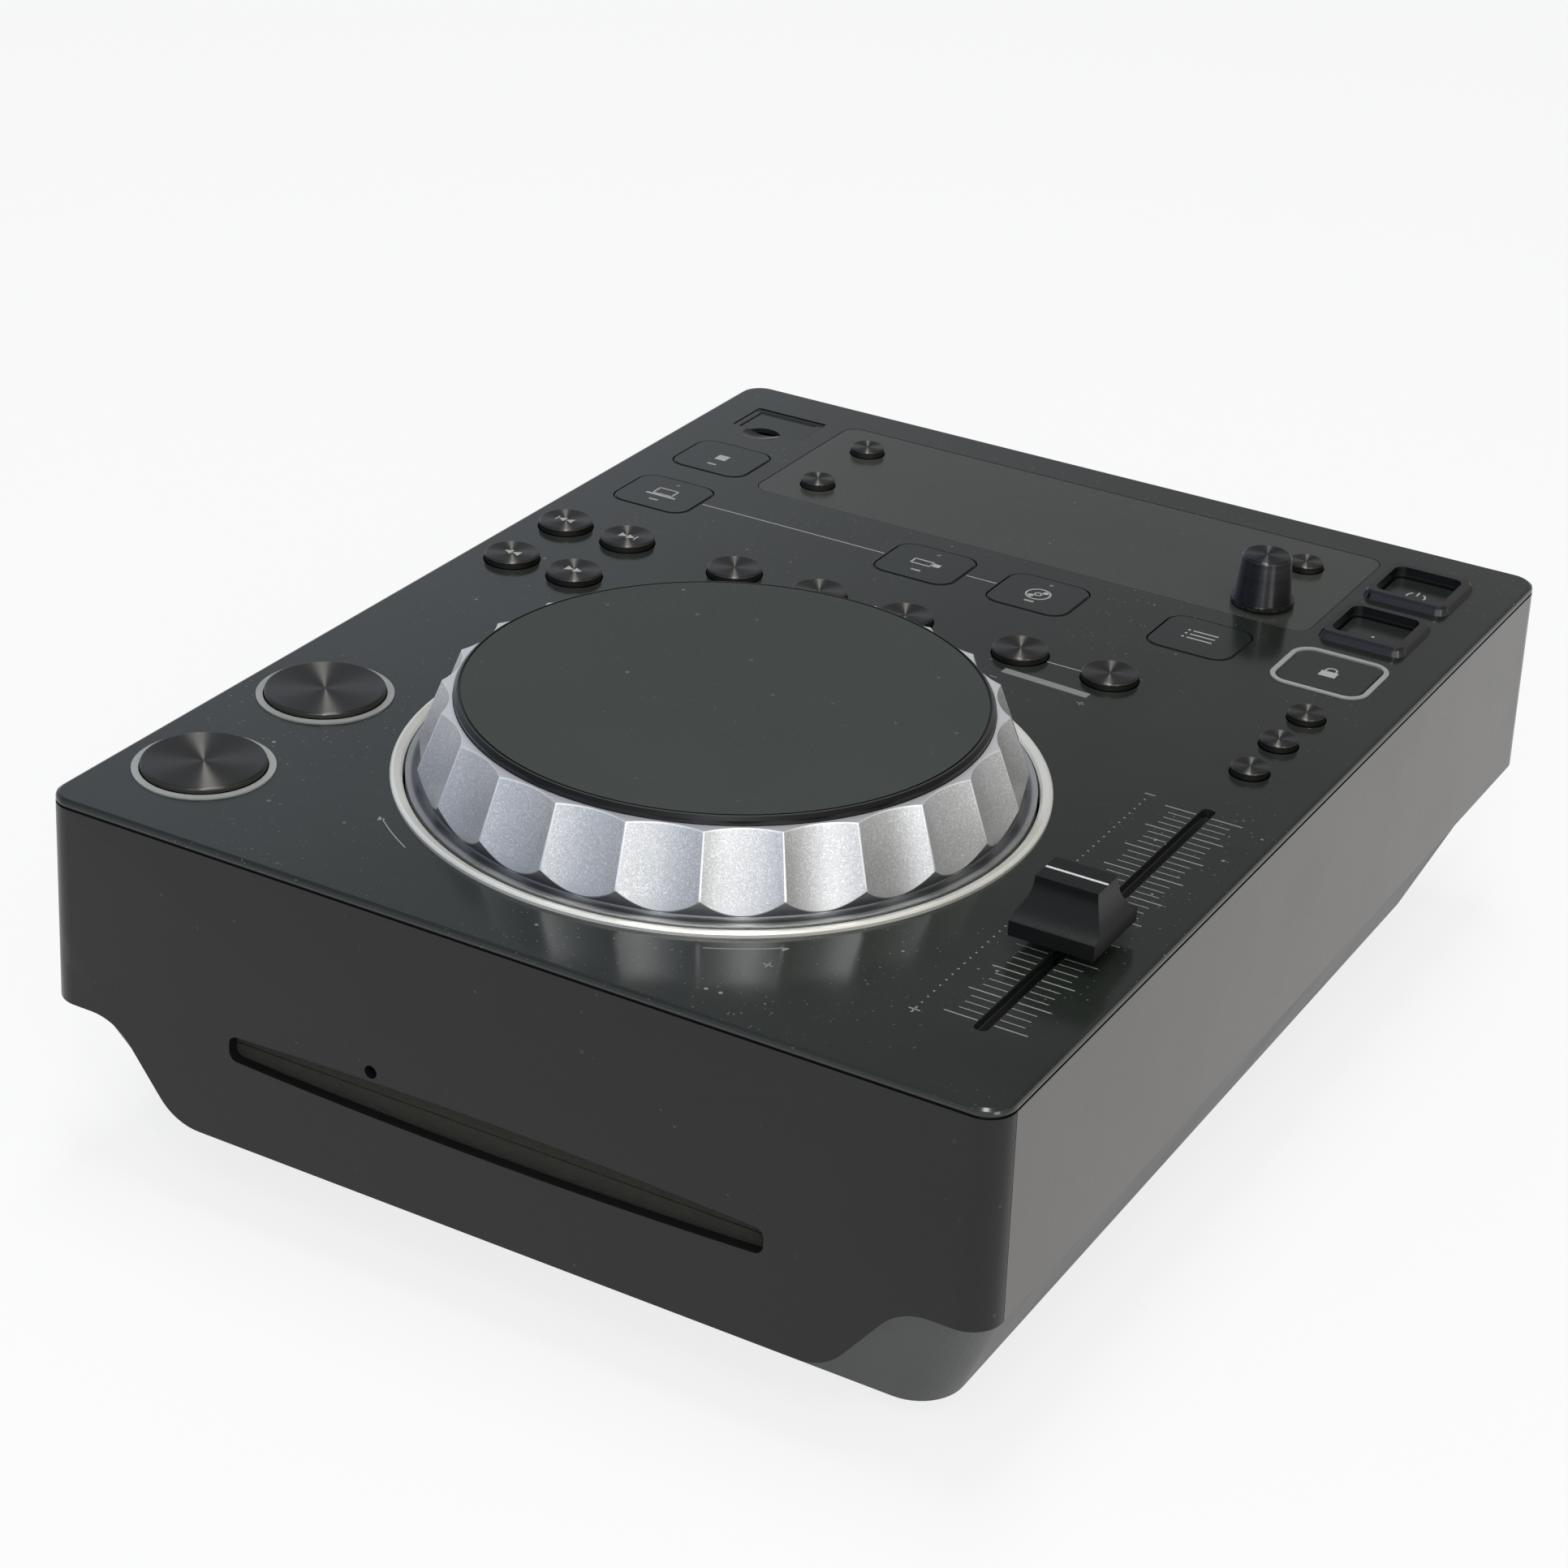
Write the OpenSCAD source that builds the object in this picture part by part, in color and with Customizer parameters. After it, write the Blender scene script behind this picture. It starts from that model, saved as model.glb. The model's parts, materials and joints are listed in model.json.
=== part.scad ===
// Tabletop DJ CD player: slot-loading player with a scalloped jog wheel.
// Millimetres, +Z up, front towards -Y. Part origin: centre of the footprint, at the feet.
// Inside place() heights are measured from the top plate's surface and Y from its centre.

/* [Body] */
// width of the top plate
plate_w = 218; // [216:1:224]
// depth of the top plate
plate_d = 286; // [284:1:292]
// height of the upper housing's side walls
side_h = 47.4; // [47:0.2:49]
// depth of the front panel's chin below the top plate
chin_z = 66.9; // [64:0.5:70]
// depth of the lower case's floor below the top plate
base_z = 81.5; // [80:0.5:86]
// height of the rubber feet under the lower case
foot_h = 6.4; // [3:0.2:10]
// outward slope of the upper walls, degrees
draft = 1.16; // [0.6:0.1:1.4]
// radius of the housing's upright corners
corner_r = 6; // [5:0.5:7]
// wall thickness of the housing and front panel
wall = 2.4; // [2:0.1:2.6]
// inward taper of the lower case from its rim to its floor
tub_taper = 15.4; // [13:0.5:16]
// radius of the lower case's corners at the floor
tub_r = 10; // [9:0.5:12]
// radius of the lower case's corners at the rim
tub_top_r = 13; // [11:0.5:15]
// radius of the two bends on each side of the chin
chin_fillet = 12.4; // [10:0.2:13]
// half width of the chin where its slanted sides would meet its lower edge
chin_half = 77; // [74:0.5:79]
// slant of the chin's sides from level, degrees
chin_slant = 52.2; // [50:1:56]

/* [Disc slot and drive] */
// width of the disc slot
slot_w = 125.2; // [123:0.2:127]
// height of the disc slot
slot_h = 5.8; // [5.6:0.1:6.2]
// depth of the slot's centre line below the top plate
slot_z = 43.9; // [43.7:0.1:44.2]
// half width of the drive chassis
drive_half = 73; // [72:0.5:75]

/* [Jog wheel] */
// distance from the plate's centre forward to the wheel's axis
jog_y = -56.7; // [-57.5:0.1:-56]
// radius of the wheel's top disc
disc_r = 56; // [55:0.1:56.1]
// height of the top disc above the plate
disc_top = 19.3; // [18.5:0.1:20]
// radius of the wheel's scalloped crest at the top
crest_r = 58.8; // [58:0.1:59]
// number of scallops round the wheel
scallops = 24; // [20:1:28]
// radius of each scallop's cutter
scallop_r = 20; // [18:1:26]
// lean of the scallops from upright, degrees
scallop_lean = 20; // [19.8:0.1:20.4]
// outer radius of the bright trim ring
trim_r = 69; // [68.5:0.1:70]

/* [Controls] */
// radius of the play and cue buttons
play_r = 13.1; // [12:0.1:13.2]
// radius of the search and loop buttons
mid_r = 6.45; // [5.8:0.05:6.5]
// radius of the small mode buttons
small_r = 4.2; // [3.6:0.1:4.4]
// height of the play and cue buttons above the plate
play_up = 1.6; // [1.2:0.1:2.4]
// height of the smaller round buttons above the plate
small_up = 1.8; // [1.2:0.1:2.4]
// width of the rectangular buttons
rect_w = 20.6; // [19:0.1:20.8]
// depth of the rectangular buttons
rect_d = 18.6; // [17:0.1:18.8]
// where the tempo fader stands on its travel, from the middle
fader_at = -13.85; // [-35:0.05:35]
// height of the selector knob above the plate
knob_top = 12.3; // [11:0.1:14]
// radius of the knob's top
knob_r = 5.7; // [5.2:0.1:5.9]
// reach of the phono sockets behind the top plate's rear edge
rca_reach = 10.2; // [8:0.2:12]

/* [Hidden] */
$fn = 96;
k = tan(draft);
top_z = base_z + foot_h;
front_y = plate_d / 2 + chin_z * k;
rear_y = plate_d / 2 + rca_reach;
body_dy = (front_y - rear_y) / 2;
gap = 0.3;
half_x = plate_w / 2;
half_y = plate_d / 2;
core_x = half_x - corner_r;
core_y = half_y - corner_r;
in_x = half_x - wall;
in_y = half_y - wall;
seam_z = 2.0;
plate_under = -2.0;
board_top = -9.4;
board_t = 1.6;
key_end = -4.8;
left_x = 20.2 - half_x;
right_x = half_x - 21.7;
slide_x = half_x - 17.3;
slide_y = 77.35 - half_y;
mode_x = slide_x - 0.1;
play_y = 27.8 - half_y;
cue_y = 69.8 - half_y;
loop_y = half_y - 109.6;
source_y = half_y - 78.5;
stop_y = half_y - 50.4;
eject_y = half_y - 52;
power_y = half_y - 24.4;
lock_x = right_x - 0.3;
lock_y = source_y - 0.5;
slide_travel = 100;
cap_y = slide_y + fader_at;
win_x = 0.5;
win_y = half_y - 37;
win_w = right_x - left_x - 29.1;
win_d = 50;
win_t = 1.4;
knob_x = win_x + 58.5;
knob_y = win_y - 14.8;
usb_x = left_x;
usb_y = half_y - 21.25;
usb_w = 20;
usb_d = 14.1;
hub_y = -60;
bay_floor = -64.8;
rim_z = -side_h;
tub_x = half_x - 0.8;
tub_y = half_y - 1.7;
tub_wall = 2.4;
floor_top = -base_z + 2.2;
shelf_z = -36;
rca_z = -29;
foot_x = half_x - 33;
foot_y = half_y - 35;

module place() {
  translate([0, body_dy, top_z])
    children();
}

// rounded rectangle made of squares and circles
module rr(w, d, r) {
  square([w - 2 * r, d], center = true);
  square([w, d - 2 * r], center = true);
  for (sx = [-1, 1]) {
    for (sy = [-1, 1]) {
      translate([sx * (w / 2 - r), sy * (d / 2 - r)])
        circle(r);
    }
  }
}

module slab(w, d, r, lo, hi) {
  translate([0, 0, lo])
    linear_extrude(hi - lo)
      rr(w, d, r);
}

module rod(r, lo, hi) {
  translate([0, 0, lo])
    cylinder(r = r, h = hi - lo);
}

module tube(ro, ri, lo, hi) {
  difference() {
    rod(ro, lo, hi);
    rod(ri, lo - 1, hi + 1);
  }
}

module box(x0, x1, y0, y1, z0, z1) {
  translate([x0, y0, z0])
    cube([x1 - x0, y1 - y0, z1 - z0]);
}

// axis-along-X and axis-along-Y cylinders
module rod_x(r, x0, x1) {
  translate([x0, 0, 0])
    rotate([0, 90, 0])
      cylinder(r = r, h = x1 - x0);
}

module rod_y(r, y0, y1) {
  translate([0, y1, 0])
    rotate([90, 0, 0])
      cylinder(r = r, h = y1 - y0);
}

// rounded block whose sides lean: corner centres stay put, the radius changes with height
module lean_block(cx, cy, r_lo, r_hi, lo, hi) {
  rotate([90, 0, 0])
    linear_extrude(2 * cy, center = true)
      polygon([[-cx - r_lo, lo], [cx + r_lo, lo], [cx + r_hi, hi], [-cx - r_hi, hi]]);
  rotate([90, 0, 90])
    linear_extrude(2 * cx, center = true)
      polygon([[-cy - r_lo, lo], [cy + r_lo, lo], [cy + r_hi, hi], [-cy - r_hi, hi]]);
  for (sx = [-1, 1]) {
    for (sy = [-1, 1]) {
      translate([sx * cx, sy * cy, lo])
        cylinder(r1 = r_lo, r2 = r_hi, h = hi - lo);
    }
  }
}

// the drafted upper body between two depths, drawn in by an inset
module draft_block(lo, hi, inset) {
  lean_block(core_x, core_y, corner_r - lo * k - inset, corner_r - hi * k - inset, lo, hi);
}

// ---------- shell ----------

function chin_pts() =
  let (t = chin_fillet * tan(chin_slant / 2),
       s = (chin_z - side_h) / sin(chin_slant),
       xi = chin_half + s * cos(chin_slant),
       n = 8)
  concat(
    [[chin_half - t, -chin_z]],
    [for (i = [1:n]) let (a = -90 + chin_slant * i / n)
      [chin_half - t + chin_fillet * cos(a), -chin_z + chin_fillet + chin_fillet * sin(a)]],
    [for (i = [0:n]) let (a = 90 + chin_slant * (1 - i / n))
      [xi + t + chin_fillet * cos(a), rim_z - chin_fillet + chin_fillet * sin(a)]],
    [[half_x + 5, rim_z], [half_x + 5, -seam_z]]);

module chin_outline() {
  half = chin_pts();
  polygon(concat(half, [for (i = [len(half) - 1:-1:0]) [-half[i][0], half[i][1]]]));
}

module front_panel() {
  color([0.11, 0.11, 0.11])
    place()
      difference() {
        intersection() {
          difference() {
            draft_block(-chin_z, -seam_z, 0);
            draft_block(-chin_z - 1, -seam_z + 1, wall);
          }
          translate([0, -core_y, 0])
            rotate([90, 0, 0])
              linear_extrude(40)
                chin_outline();
        }
        translate([0, -half_y + 6, -slot_z])
          rotate([90, 0, 0])
            linear_extrude(12)
              rr(slot_w, slot_h, 2);
        translate([-27.6, 0, -37.7])
          rod_y(1.45, -half_y - 5, -half_y + 6);
      }
}

module side_housing() {
  color([0.13, 0.13, 0.13])
    place()
      difference() {
        draft_block(rim_z, -seam_z, 0);
        slab(2 * in_x, 2 * in_y, corner_r - wall, rim_z - 1, 1);
        box(-half_x - 5, half_x + 5, -half_y - 5, -core_y + 0.2, rim_z - 1, 1);
        for (x = [-84, -66]) {
          translate([x, 0, rca_z])
            rod_y(4.6, in_y - 1, half_y + 5);
        }
        translate([-44, 0, -31])
          rod_y(3.4, in_y - 1, half_y + 5);
        translate([-18, half_y, -30.4])
          cube([12.6, 12, 11.4], center = true);
        translate([68, half_y, -29])
          cube([20.6, 12, 11.6], center = true);
      }
}

// tapered block of the lower case: the corners lean inwards with the walls
module tub_block(inset, lo, hi) {
  t = tub_taper * (lo + base_z) / (base_z - side_h);
  intersection() {
    hull() {
      for (sx = [-1, 1]) {
        for (sy = [-1, 1]) {
          translate([sx * (tub_x - tub_top_r), sy * (tub_y - tub_top_r), rim_z])
            cylinder(r = tub_top_r - inset, h = 2, $fn = 48);
          translate([sx * (tub_x - tub_taper + t - tub_r), sy * (tub_y - tub_taper + t - tub_r), lo - 2])
            cylinder(r = tub_r - inset, h = 2, $fn = 48);
        }
      }
    }
    box(-half_x, half_x, -half_y, half_y, lo, hi);
  }
}

module bottom_case() {
  color([0.16, 0.16, 0.16])
    place()
      difference() {
        union() {
          difference() {
            tub_block(0, -base_z, rim_z);
            tub_block(tub_wall, floor_top, rim_z + 1);
          }
          difference() {
            slab(2 * in_x - 0.6, 2 * in_y - 0.6, 3.2, rim_z, rim_z + 2.2);
            slab(2 * in_x - 17.2, 2 * in_y - 19.2, 12, rim_z - 1, rim_z + 4);
            box(-68, 68, -half_y, -100, rim_z, rim_z + 4);
          }
          difference() {
            slab(2 * in_x - 0.6, 2 * in_y - 2, 10, rim_z - 2.2, rim_z);
            slab(2 * in_x - 9.2, 2 * in_y - 11.2, 12, rim_z - 3, rim_z + 1);
          }
          for (x = [-42, 42]) {
            box(x - 5, x + 5, -half_y + 1.4, -half_y + 14, -62, -56);
          }
          for (x = [-60, 60]) {
            for (y = [-92, -4]) {
              translate([x, y, 0])
                rod(4, -base_z + 1, -66);
            }
          }
          for (p = shelf_posts()) {
            translate([p[0], p[1], 0])
              rod(3.6, -base_z + 1, shelf_z - board_t);
          }
        }
        for (x = [-60, 60]) {
          for (y = [-92, -4]) {
            translate([x, y, 0])
              rod(3.2, -base_z - 1, -base_z + 1.8);
            translate([x, y, 0])
              rod(1.6, -base_z, -60);
          }
        }
        for (p = shelf_posts()) {
          translate([p[0], p[1], 0])
            rod(1.3, shelf_z - 10, shelf_z + 1);
        }
        for (sx = [-1, 1]) {
          for (sy = [-1, 1]) {
            translate([sx * foot_x, sy * foot_y, 0])
              rod(9.8, -base_z - 1, -base_z + 0.8);
          }
        }
        for (i = [-6:6]) {
          translate([i * 7, 60, -base_z - 1])
            linear_extrude(5)
              rr(3, 44, 1.45);
        }
      }
}

function shelf_posts() = [[21 - half_x, 30], [21 - half_x, half_y - 35], [22, 30],
  [22, half_y - 19], [40, 30], [half_x - 23, 30], [40, half_y - 35], [half_x - 23, half_y - 35]];

// openings cut through the top plate, [x, y, radius]
function round_holes() = [
  [left_x - 8.6, loop_y + 0.4, mid_r], [left_x + 8.6, loop_y + 0.7, mid_r],
  [left_x - 8.4, loop_y - 23.1, mid_r], [left_x + 9, loop_y - 23.2, mid_r],
  [-50.2, loop_y, mid_r], [-27.5, loop_y, mid_r], [-4.8, loop_y - 0.2, mid_r], [25, loop_y - 0.8, mid_r],
  [47.3, loop_y - 1, mid_r], [mode_x, loop_y + 5.8, small_r],
  [mode_x, loop_y - 9.8, small_r], [mode_x, loop_y - 25.5, small_r]];

// rectangular button openings, [x, y]
function rect_holes() = [[left_x + 0.1, source_y + 0.1], [left_x, stop_y], [-16, source_y],
  [13.9, source_y - 0.2], [55, source_y - 0.1]];

// openings for the small keys in the display window, [x, y]
function window_holes() = [[win_x - 61.4, win_y + 12], [win_x - 61.4, win_y - 13.7],
  [win_x + 59, win_y + 10.5]];

function panel_posts() = [[-68, 15 - half_y], [8.8 - half_x, -94.2], [-66, 20], [68, 20],
  [-51, source_y + 10.5], [34.5, source_y + 10.5], [8.8 - half_x, half_y - 10.6],
  [half_x - 8.8, half_y - 10.6], [9 - half_x, loop_y + 15.6], [half_x - 8, loop_y + 16.6]];

module plate_edge() {
  union() {
    slab(plate_w - 1.2, plate_d - 1.2, corner_r - 0.6, plate_under, -1.4);
    slab(plate_w, plate_d, corner_r, -1.4, -0.9);
    lean_block(core_x, core_y, corner_r, corner_r - 0.2, -0.9, -0.4);
    lean_block(core_x, core_y, corner_r - 0.2, corner_r - 0.9, -0.4, 0);
  }
}

module top_panel() {
  color([0.2, 0.21, 0.2])
    place()
      difference() {
        union() {
          plate_edge();
          difference() {
            slab(2 * in_x - 0.6, 2 * in_y - 0.6, 3.3, -5, plate_under);
            slab(2 * in_x - 3.8, 2 * in_y - 3.8, 1.7, -6, 0);
          }
          for (y = [eject_y, power_y]) {
            translate([right_x, y, 0])
              lean_block(7.7, 7.7, 3, 2.4, -0.1, 1.4);
            translate([right_x, y, 0])
              lean_block(7.7, 7.7, 2.4, 1.9, 1.4, 2);
          }
          for (p = panel_posts()) {
            translate([p[0], p[1], 0])
              rod(2.4, board_top, -1);
          }
          for (a = [45, 135, 225, 315]) {
            translate([73 * cos(a), jog_y + 73 * sin(a), 0])
              rod(0.9, -5.5, -1);
          }
        }
        translate([0, jog_y, 0])
          rod(67.6, -7, 3);
        for (y = [play_y, cue_y]) {
          translate([left_x - 1, y, 0])
            rod(15, -7, 3);
          translate([left_x - 1, y, 0])
            rod(16.3, -7, plate_under);
        }
        for (h = round_holes()) {
          translate([h[0], h[1], 0])
            rod(h[2] + gap, -7, 3);
        }
        for (h = rect_holes()) {
          translate([h[0], h[1], 0])
            slab(rect_w + 0.7, rect_d + 0.7, 4.5, -7, 3);
        }
        translate([lock_x, lock_y, 0])
          slab(23.6, 21.6, 5.2, -7, 3);
        for (y = [eject_y, power_y]) {
          translate([right_x, y, 0])
            slab(16.6, 16, 2.4, -7, 4);
        }
        translate([win_x, win_y, 0])
          slab(win_w + 0.4, win_d + 0.4, 4.2, -win_t, 3);
        translate([win_x, win_y, 0])
          slab(win_w - 3.2, win_d - 3.2, 2.6, -7, 3);
        translate([slide_x, slide_y, 0])
          slab(3, 106, 1.2, -7, 3);
        translate([usb_x, usb_y, 0])
          slab(usb_w, usb_d, 0.8, -7, 3);
        translate([usb_x, usb_y + usb_d / 2 - 1.25, -0.9])
          rod_x(0.55, -usb_w / 2 - 1.6, usb_w / 2 + 1.6);
        translate([usb_x - 0.6, usb_y - 8.4, 11])
          sphere(r = 12);
      }
}

module display_window() {
  color([0.03, 0.03, 0.03, 0.85])
    place()
      difference() {
        translate([win_x, win_y, 0])
          slab(win_w, win_d, 4, -win_t, -0.05);
        for (h = window_holes()) {
          translate([h[0], h[1], 0])
            rod(small_r + gap, -7, 3);
        }
        translate([knob_x, knob_y, 0])
          rod(3.4, -7, 3);
      }
}

module display_module() {
  color([0.05, 0.07, 0.07])
    place()
      difference() {
        union() {
          box(-52, 43, 86, 126, board_top, -4.4);
          box(-50, 41, 88, 124, -4.4, -2.6);
        }
        box(-47, 38, 91, 121, -3.2, 0);
      }
}

module jog_trim_ring() {
  color([0.85, 0.85, 0.8])
    place()
      translate([0, jog_y, 0])
        rotate_extrude()
          polygon([[66.4, -3], [67.4, -3], [67.4, 0], [trim_r, 0], [trim_r, 0.7],
            [trim_r - 0.3, 1.05], [trim_r - 0.8, 1.15], [66.9, 0.7], [66.4, 0.3]]);
}

module light_rings() {
  color([0.75, 0.76, 0.72])
    place() {
      for (y = [play_y, cue_y]) {
        translate([left_x - 1, y, 0]) {
          tube(14.9, play_r + 0.3, -3.4, 0.35);
          tube(15.9, 14.5, -3.2, plate_under);
        }
      }
      translate([lock_x, lock_y, 0])
        difference() {
          union() {
            slab(23.4, 21.4, 5.1, -3.4, 0.3);
            slab(25, 23, 5.8, -3.2, plate_under);
          }
          slab(rect_w + 0.4, rect_d + 0.4, 3.8, -5, 2);
        }
    }
}

module usb_flap() {
  color([0.18, 0.19, 0.18])
    place()
      translate([usb_x, usb_y, 0])
        difference() {
          union() {
            box(-9.7, 9.7, -6.75, usb_d / 2 - 1.25, -1.7, -0.5);
            for (x = [-1, 1]) {
              box(x * 9.7 - (x > 0 ? 1.4 : 0), x * 9.7 + (x > 0 ? 0 : 1.4), -6.75, 5, -1.7, -0.2);
            }
            translate([0, usb_d / 2 - 1.25, -0.9])
              rod_x(0.85, -9.7, 9.7);
            translate([0, usb_d / 2 - 1.25, -0.9])
              rod_x(0.5, -usb_w / 2 - 1.4, usb_w / 2 + 1.4);
          }
          translate([-0.6, -8.4, 0])
            rod(4.9, -4, 1);
        }
}

module usb_port() {
  color([0.6, 0.6, 0.62])
    place()
      translate([usb_x, usb_y - 0.5, 0]) {
        difference() {
          slab(13.2, 5.8, 0.5, board_top, -2.6);
          slab(12.5, 5.1, 0.3, board_top + 0.6, 0);
        }
        box(-5.6, 5.6, -2.1, -0.2, board_top + 0.5, -3.2);
      }
}

// ---------- keys ----------

module round_key(x, y, r, up, under) {
  place()
    translate([x, y, 0]) {
      difference() {
        union() {
          rod(r, under - 1.4, up - 0.35);
          rotate_extrude()
            polygon([[0, up - 0.35], [r, up - 0.35], [r - 0.12, up - 0.1], [r - 0.4, up], [0, up]]);
        }
        rotate_extrude()
          polygon([[0, up - 0.22], [r - 0.9, up], [r - 0.9, up + 1], [0, up + 1]]);
      }
      rod(r + 0.6, under - 1.4, under - gap);
      rod(2.2, key_end, under - 1);
    }
}

module rect_key(x, y, w, d, r, up, under, stub) {
  place()
    translate([x, y, 0]) {
      slab(w, d, r, under - 1.2, up - 0.3);
      slab(w - 0.5, d - 0.5, r - 0.25, up - 0.4, up);
      slab(w + 1.6, d + 1.6, r + 0.8, under - 1.4, under - gap);
      rod(2.2, stub, under - 1);
    }
}

module play_button() {
  color([0.06, 0.06, 0.06])
    round_key(left_x - 1, play_y, play_r, play_up, -3.4);
}
module cue_button() {
  color([0.06, 0.06, 0.06])
    round_key(left_x - 1, cue_y, play_r, play_up, -3.4);
}
module track_back_button() {
  color([0.06, 0.06, 0.06])
    round_key(left_x - 8.6, loop_y + 0.4, mid_r, small_up, -2);
}
module track_forward_button() {
  color([0.06, 0.06, 0.06])
    round_key(left_x + 8.6, loop_y + 0.7, mid_r, small_up, -2);
}
module search_back_button() {
  color([0.06, 0.06, 0.06])
    round_key(left_x - 8.4, loop_y - 23.1, mid_r, small_up, -2);
}
module search_forward_button() {
  color([0.06, 0.06, 0.06])
    round_key(left_x + 9, loop_y - 23.2, mid_r, small_up, -2);
}
module loop_in_button() {
  color([0.06, 0.06, 0.06])
    round_key(-50.2, loop_y, mid_r, small_up, -2);
}
module loop_out_button() {
  color([0.06, 0.06, 0.06])
    round_key(-27.5, loop_y, mid_r, small_up, -2);
}
module reloop_button() {
  color([0.06, 0.06, 0.06])
    round_key(-4.8, loop_y - 0.2, mid_r, small_up, -2);
}
module beat_half_button() {
  color([0.06, 0.06, 0.06])
    round_key(25, loop_y - 0.8, mid_r, small_up, -2);
}
module beat_double_button() {
  color([0.06, 0.06, 0.06])
    round_key(47.3, loop_y - 1, mid_r, small_up, -2);
}
module time_mode_button() {
  color([0.06, 0.06, 0.06])
    round_key(win_x - 61.4, win_y + 12, small_r, small_up, -win_t);
}
module utility_button() {
  color([0.06, 0.06, 0.06])
    round_key(win_x - 61.4, win_y - 13.7, small_r, small_up, -win_t);
}
module back_button() {
  color([0.06, 0.06, 0.06])
    round_key(win_x + 59, win_y + 10.5, small_r, small_up, -win_t);
}
module vinyl_button() {
  color([0.06, 0.06, 0.06])
    round_key(mode_x, loop_y + 5.8, small_r, small_up, -2);
}
module tempo_range_button() {
  color([0.06, 0.06, 0.06])
    round_key(mode_x, loop_y - 9.8, small_r, small_up, -2);
}
module master_tempo_button() {
  color([0.06, 0.06, 0.06])
    round_key(mode_x, loop_y - 25.5, small_r, small_up, -2);
}
module link_button() {
  color([0.2, 0.21, 0.2])
    rect_key(left_x + 0.1, source_y + 0.1, rect_w, rect_d, 4.2, 0.15, -2, key_end);
}
module usb_stop_button() {
  color([0.2, 0.21, 0.2])
    rect_key(left_x, stop_y, rect_w, rect_d, 4.2, 0.15, -2, key_end);
}
module usb_button() {
  color([0.2, 0.21, 0.2])
    rect_key(-16, source_y, rect_w, rect_d, 4.2, 0.15, -2, key_end);
}
module disc_button() {
  color([0.2, 0.21, 0.2])
    rect_key(13.9, source_y - 0.2, rect_w, rect_d, 4.2, 0.15, -2, key_end);
}
module playlist_button() {
  color([0.2, 0.21, 0.2])
    rect_key(55, source_y - 0.1, rect_w, rect_d, 4.2, 0.15, -2, key_end);
}
module bpm_lock_button() {
  color([0.2, 0.21, 0.2])
    rect_key(lock_x, lock_y, rect_w - 0.2, rect_d - 0.2, 3.5, 0.15, -3.4, key_end);
}
module eject_key() {
  color([0.1, 0.1, 0.1])
    rect_key(right_x, eject_y, 16, 15.4, 2.1, -0.8, -2, key_end);
}
module power_key() {
  color([0.1, 0.1, 0.1])
    rect_key(right_x, power_y, 16, 15.4, 2.1, -0.8, -2, key_end);
}

// ---------- knob and fader ----------

module select_knob() {
  color([0.05, 0.05, 0.05])
    place()
      translate([knob_x, knob_y, 0])
        difference() {
          union() {
            rod(7.45, 0.75, 1.5);
            translate([0, 0, 1.5])
              cylinder(r1 = 6.7, r2 = knob_r + 0.1, h = knob_top - 2);
            rotate_extrude()
              polygon([[0, knob_top - 0.6], [knob_r + 0.1, knob_top - 0.5],
                [knob_r - 0.1, knob_top - 0.15], [knob_r - 0.4, knob_top], [0, knob_top]]);
          }
          rod(3.05, 0, knob_top - 2.5);
        }
}

module select_shaft() {
  color([0.7, 0.7, 0.7])
    place()
      translate([knob_x, knob_y, 0]) {
        rod(3, board_top + gap, knob_top - 3.6);
      }
}

module cap_side() {
  difference() {
    translate([-9.65, 3.3])
      square([19.3, 11.5]);
    for (s = [-1, 1]) {
      translate([s * 11.9, 13.6])
        circle(7.4);
      translate([s * 9.5 - 5, 13.6])
        square([10, 4]);
    }
  }
}

module cap_front() {
  difference() {
    translate([-9.1, 3.3])
      square([18.2, 11.5]);
    for (s = [-1, 1]) {
      translate([s * 18.7, 14.8])
        circle(12);
    }
  }
}

module tempo_fader_cap() {
  color([0.07, 0.07, 0.07])
    place()
      translate([slide_x, cap_y, 0]) {
        difference() {
          intersection() {
            rotate([90, 0, 90])
              linear_extrude(30, center = true)
                cap_side();
            rotate([90, 0, 0])
              linear_extrude(30, center = true)
                cap_front();
          }
          box(-0.8, 0.8, -2.5, 2.5, 0, 9);
        }
        box(-0.8, 0.8, -2.5, 2.5, -9, 9);
        box(-2.4, 2.4, -2.5, 2.5, -9.5, -5.5);
      }
}

module fader_body() {
  color([0.55, 0.55, 0.56])
    place()
      translate([slide_x, slide_y, 0])
        difference() {
          union() {
            box(-6, 6, -63, 63, -12.5, plate_under);
            for (s = [-1, 1]) {
              box(-4, 4, s * 65.2 - 3.2, s * 65.2 + 3.2, -3.2, plate_under);
            }
          }
          box(-3.2, 3.2, -53.5, 53.5, -10.2, -4.4);
          box(-1.4, 1.4, -53.5, 53.5, -5, 0);
        }
}

// ---------- jog wheel ----------

module jog_profile() {
  polygon([[58.8, -2.4], [55, 12.8], [20, 12.8], [20, 15.8], [disc_r + 0.15, 15.8],
    [disc_r + 0.15, 17.5], [crest_r, 17.5], [crest_r + 4.9, 4.7], [crest_r + 3.7, 1],
    [crest_r + 3.82, 0.75], [crest_r + 4.1, 0.6], [crest_r + 4.6, 0.55], [65.8, 0.9],
    [65.8, -2.4]]);
}

// one scallop's cutter: it ends inside the groove at the wheel's foot
module scallop_cut() {
  axis_r = crest_r - 2.1 + scallop_r / cos(scallop_lean);
  foot = 16.35 / cos(scallop_lean) - scallop_r * tan(scallop_lean);
  translate([axis_r, 0, 17.5])
    rotate([0, -scallop_lean, 0])
      translate([0, 0, -foot])
        cylinder(r = scallop_r, h = foot + 20);
}

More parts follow.
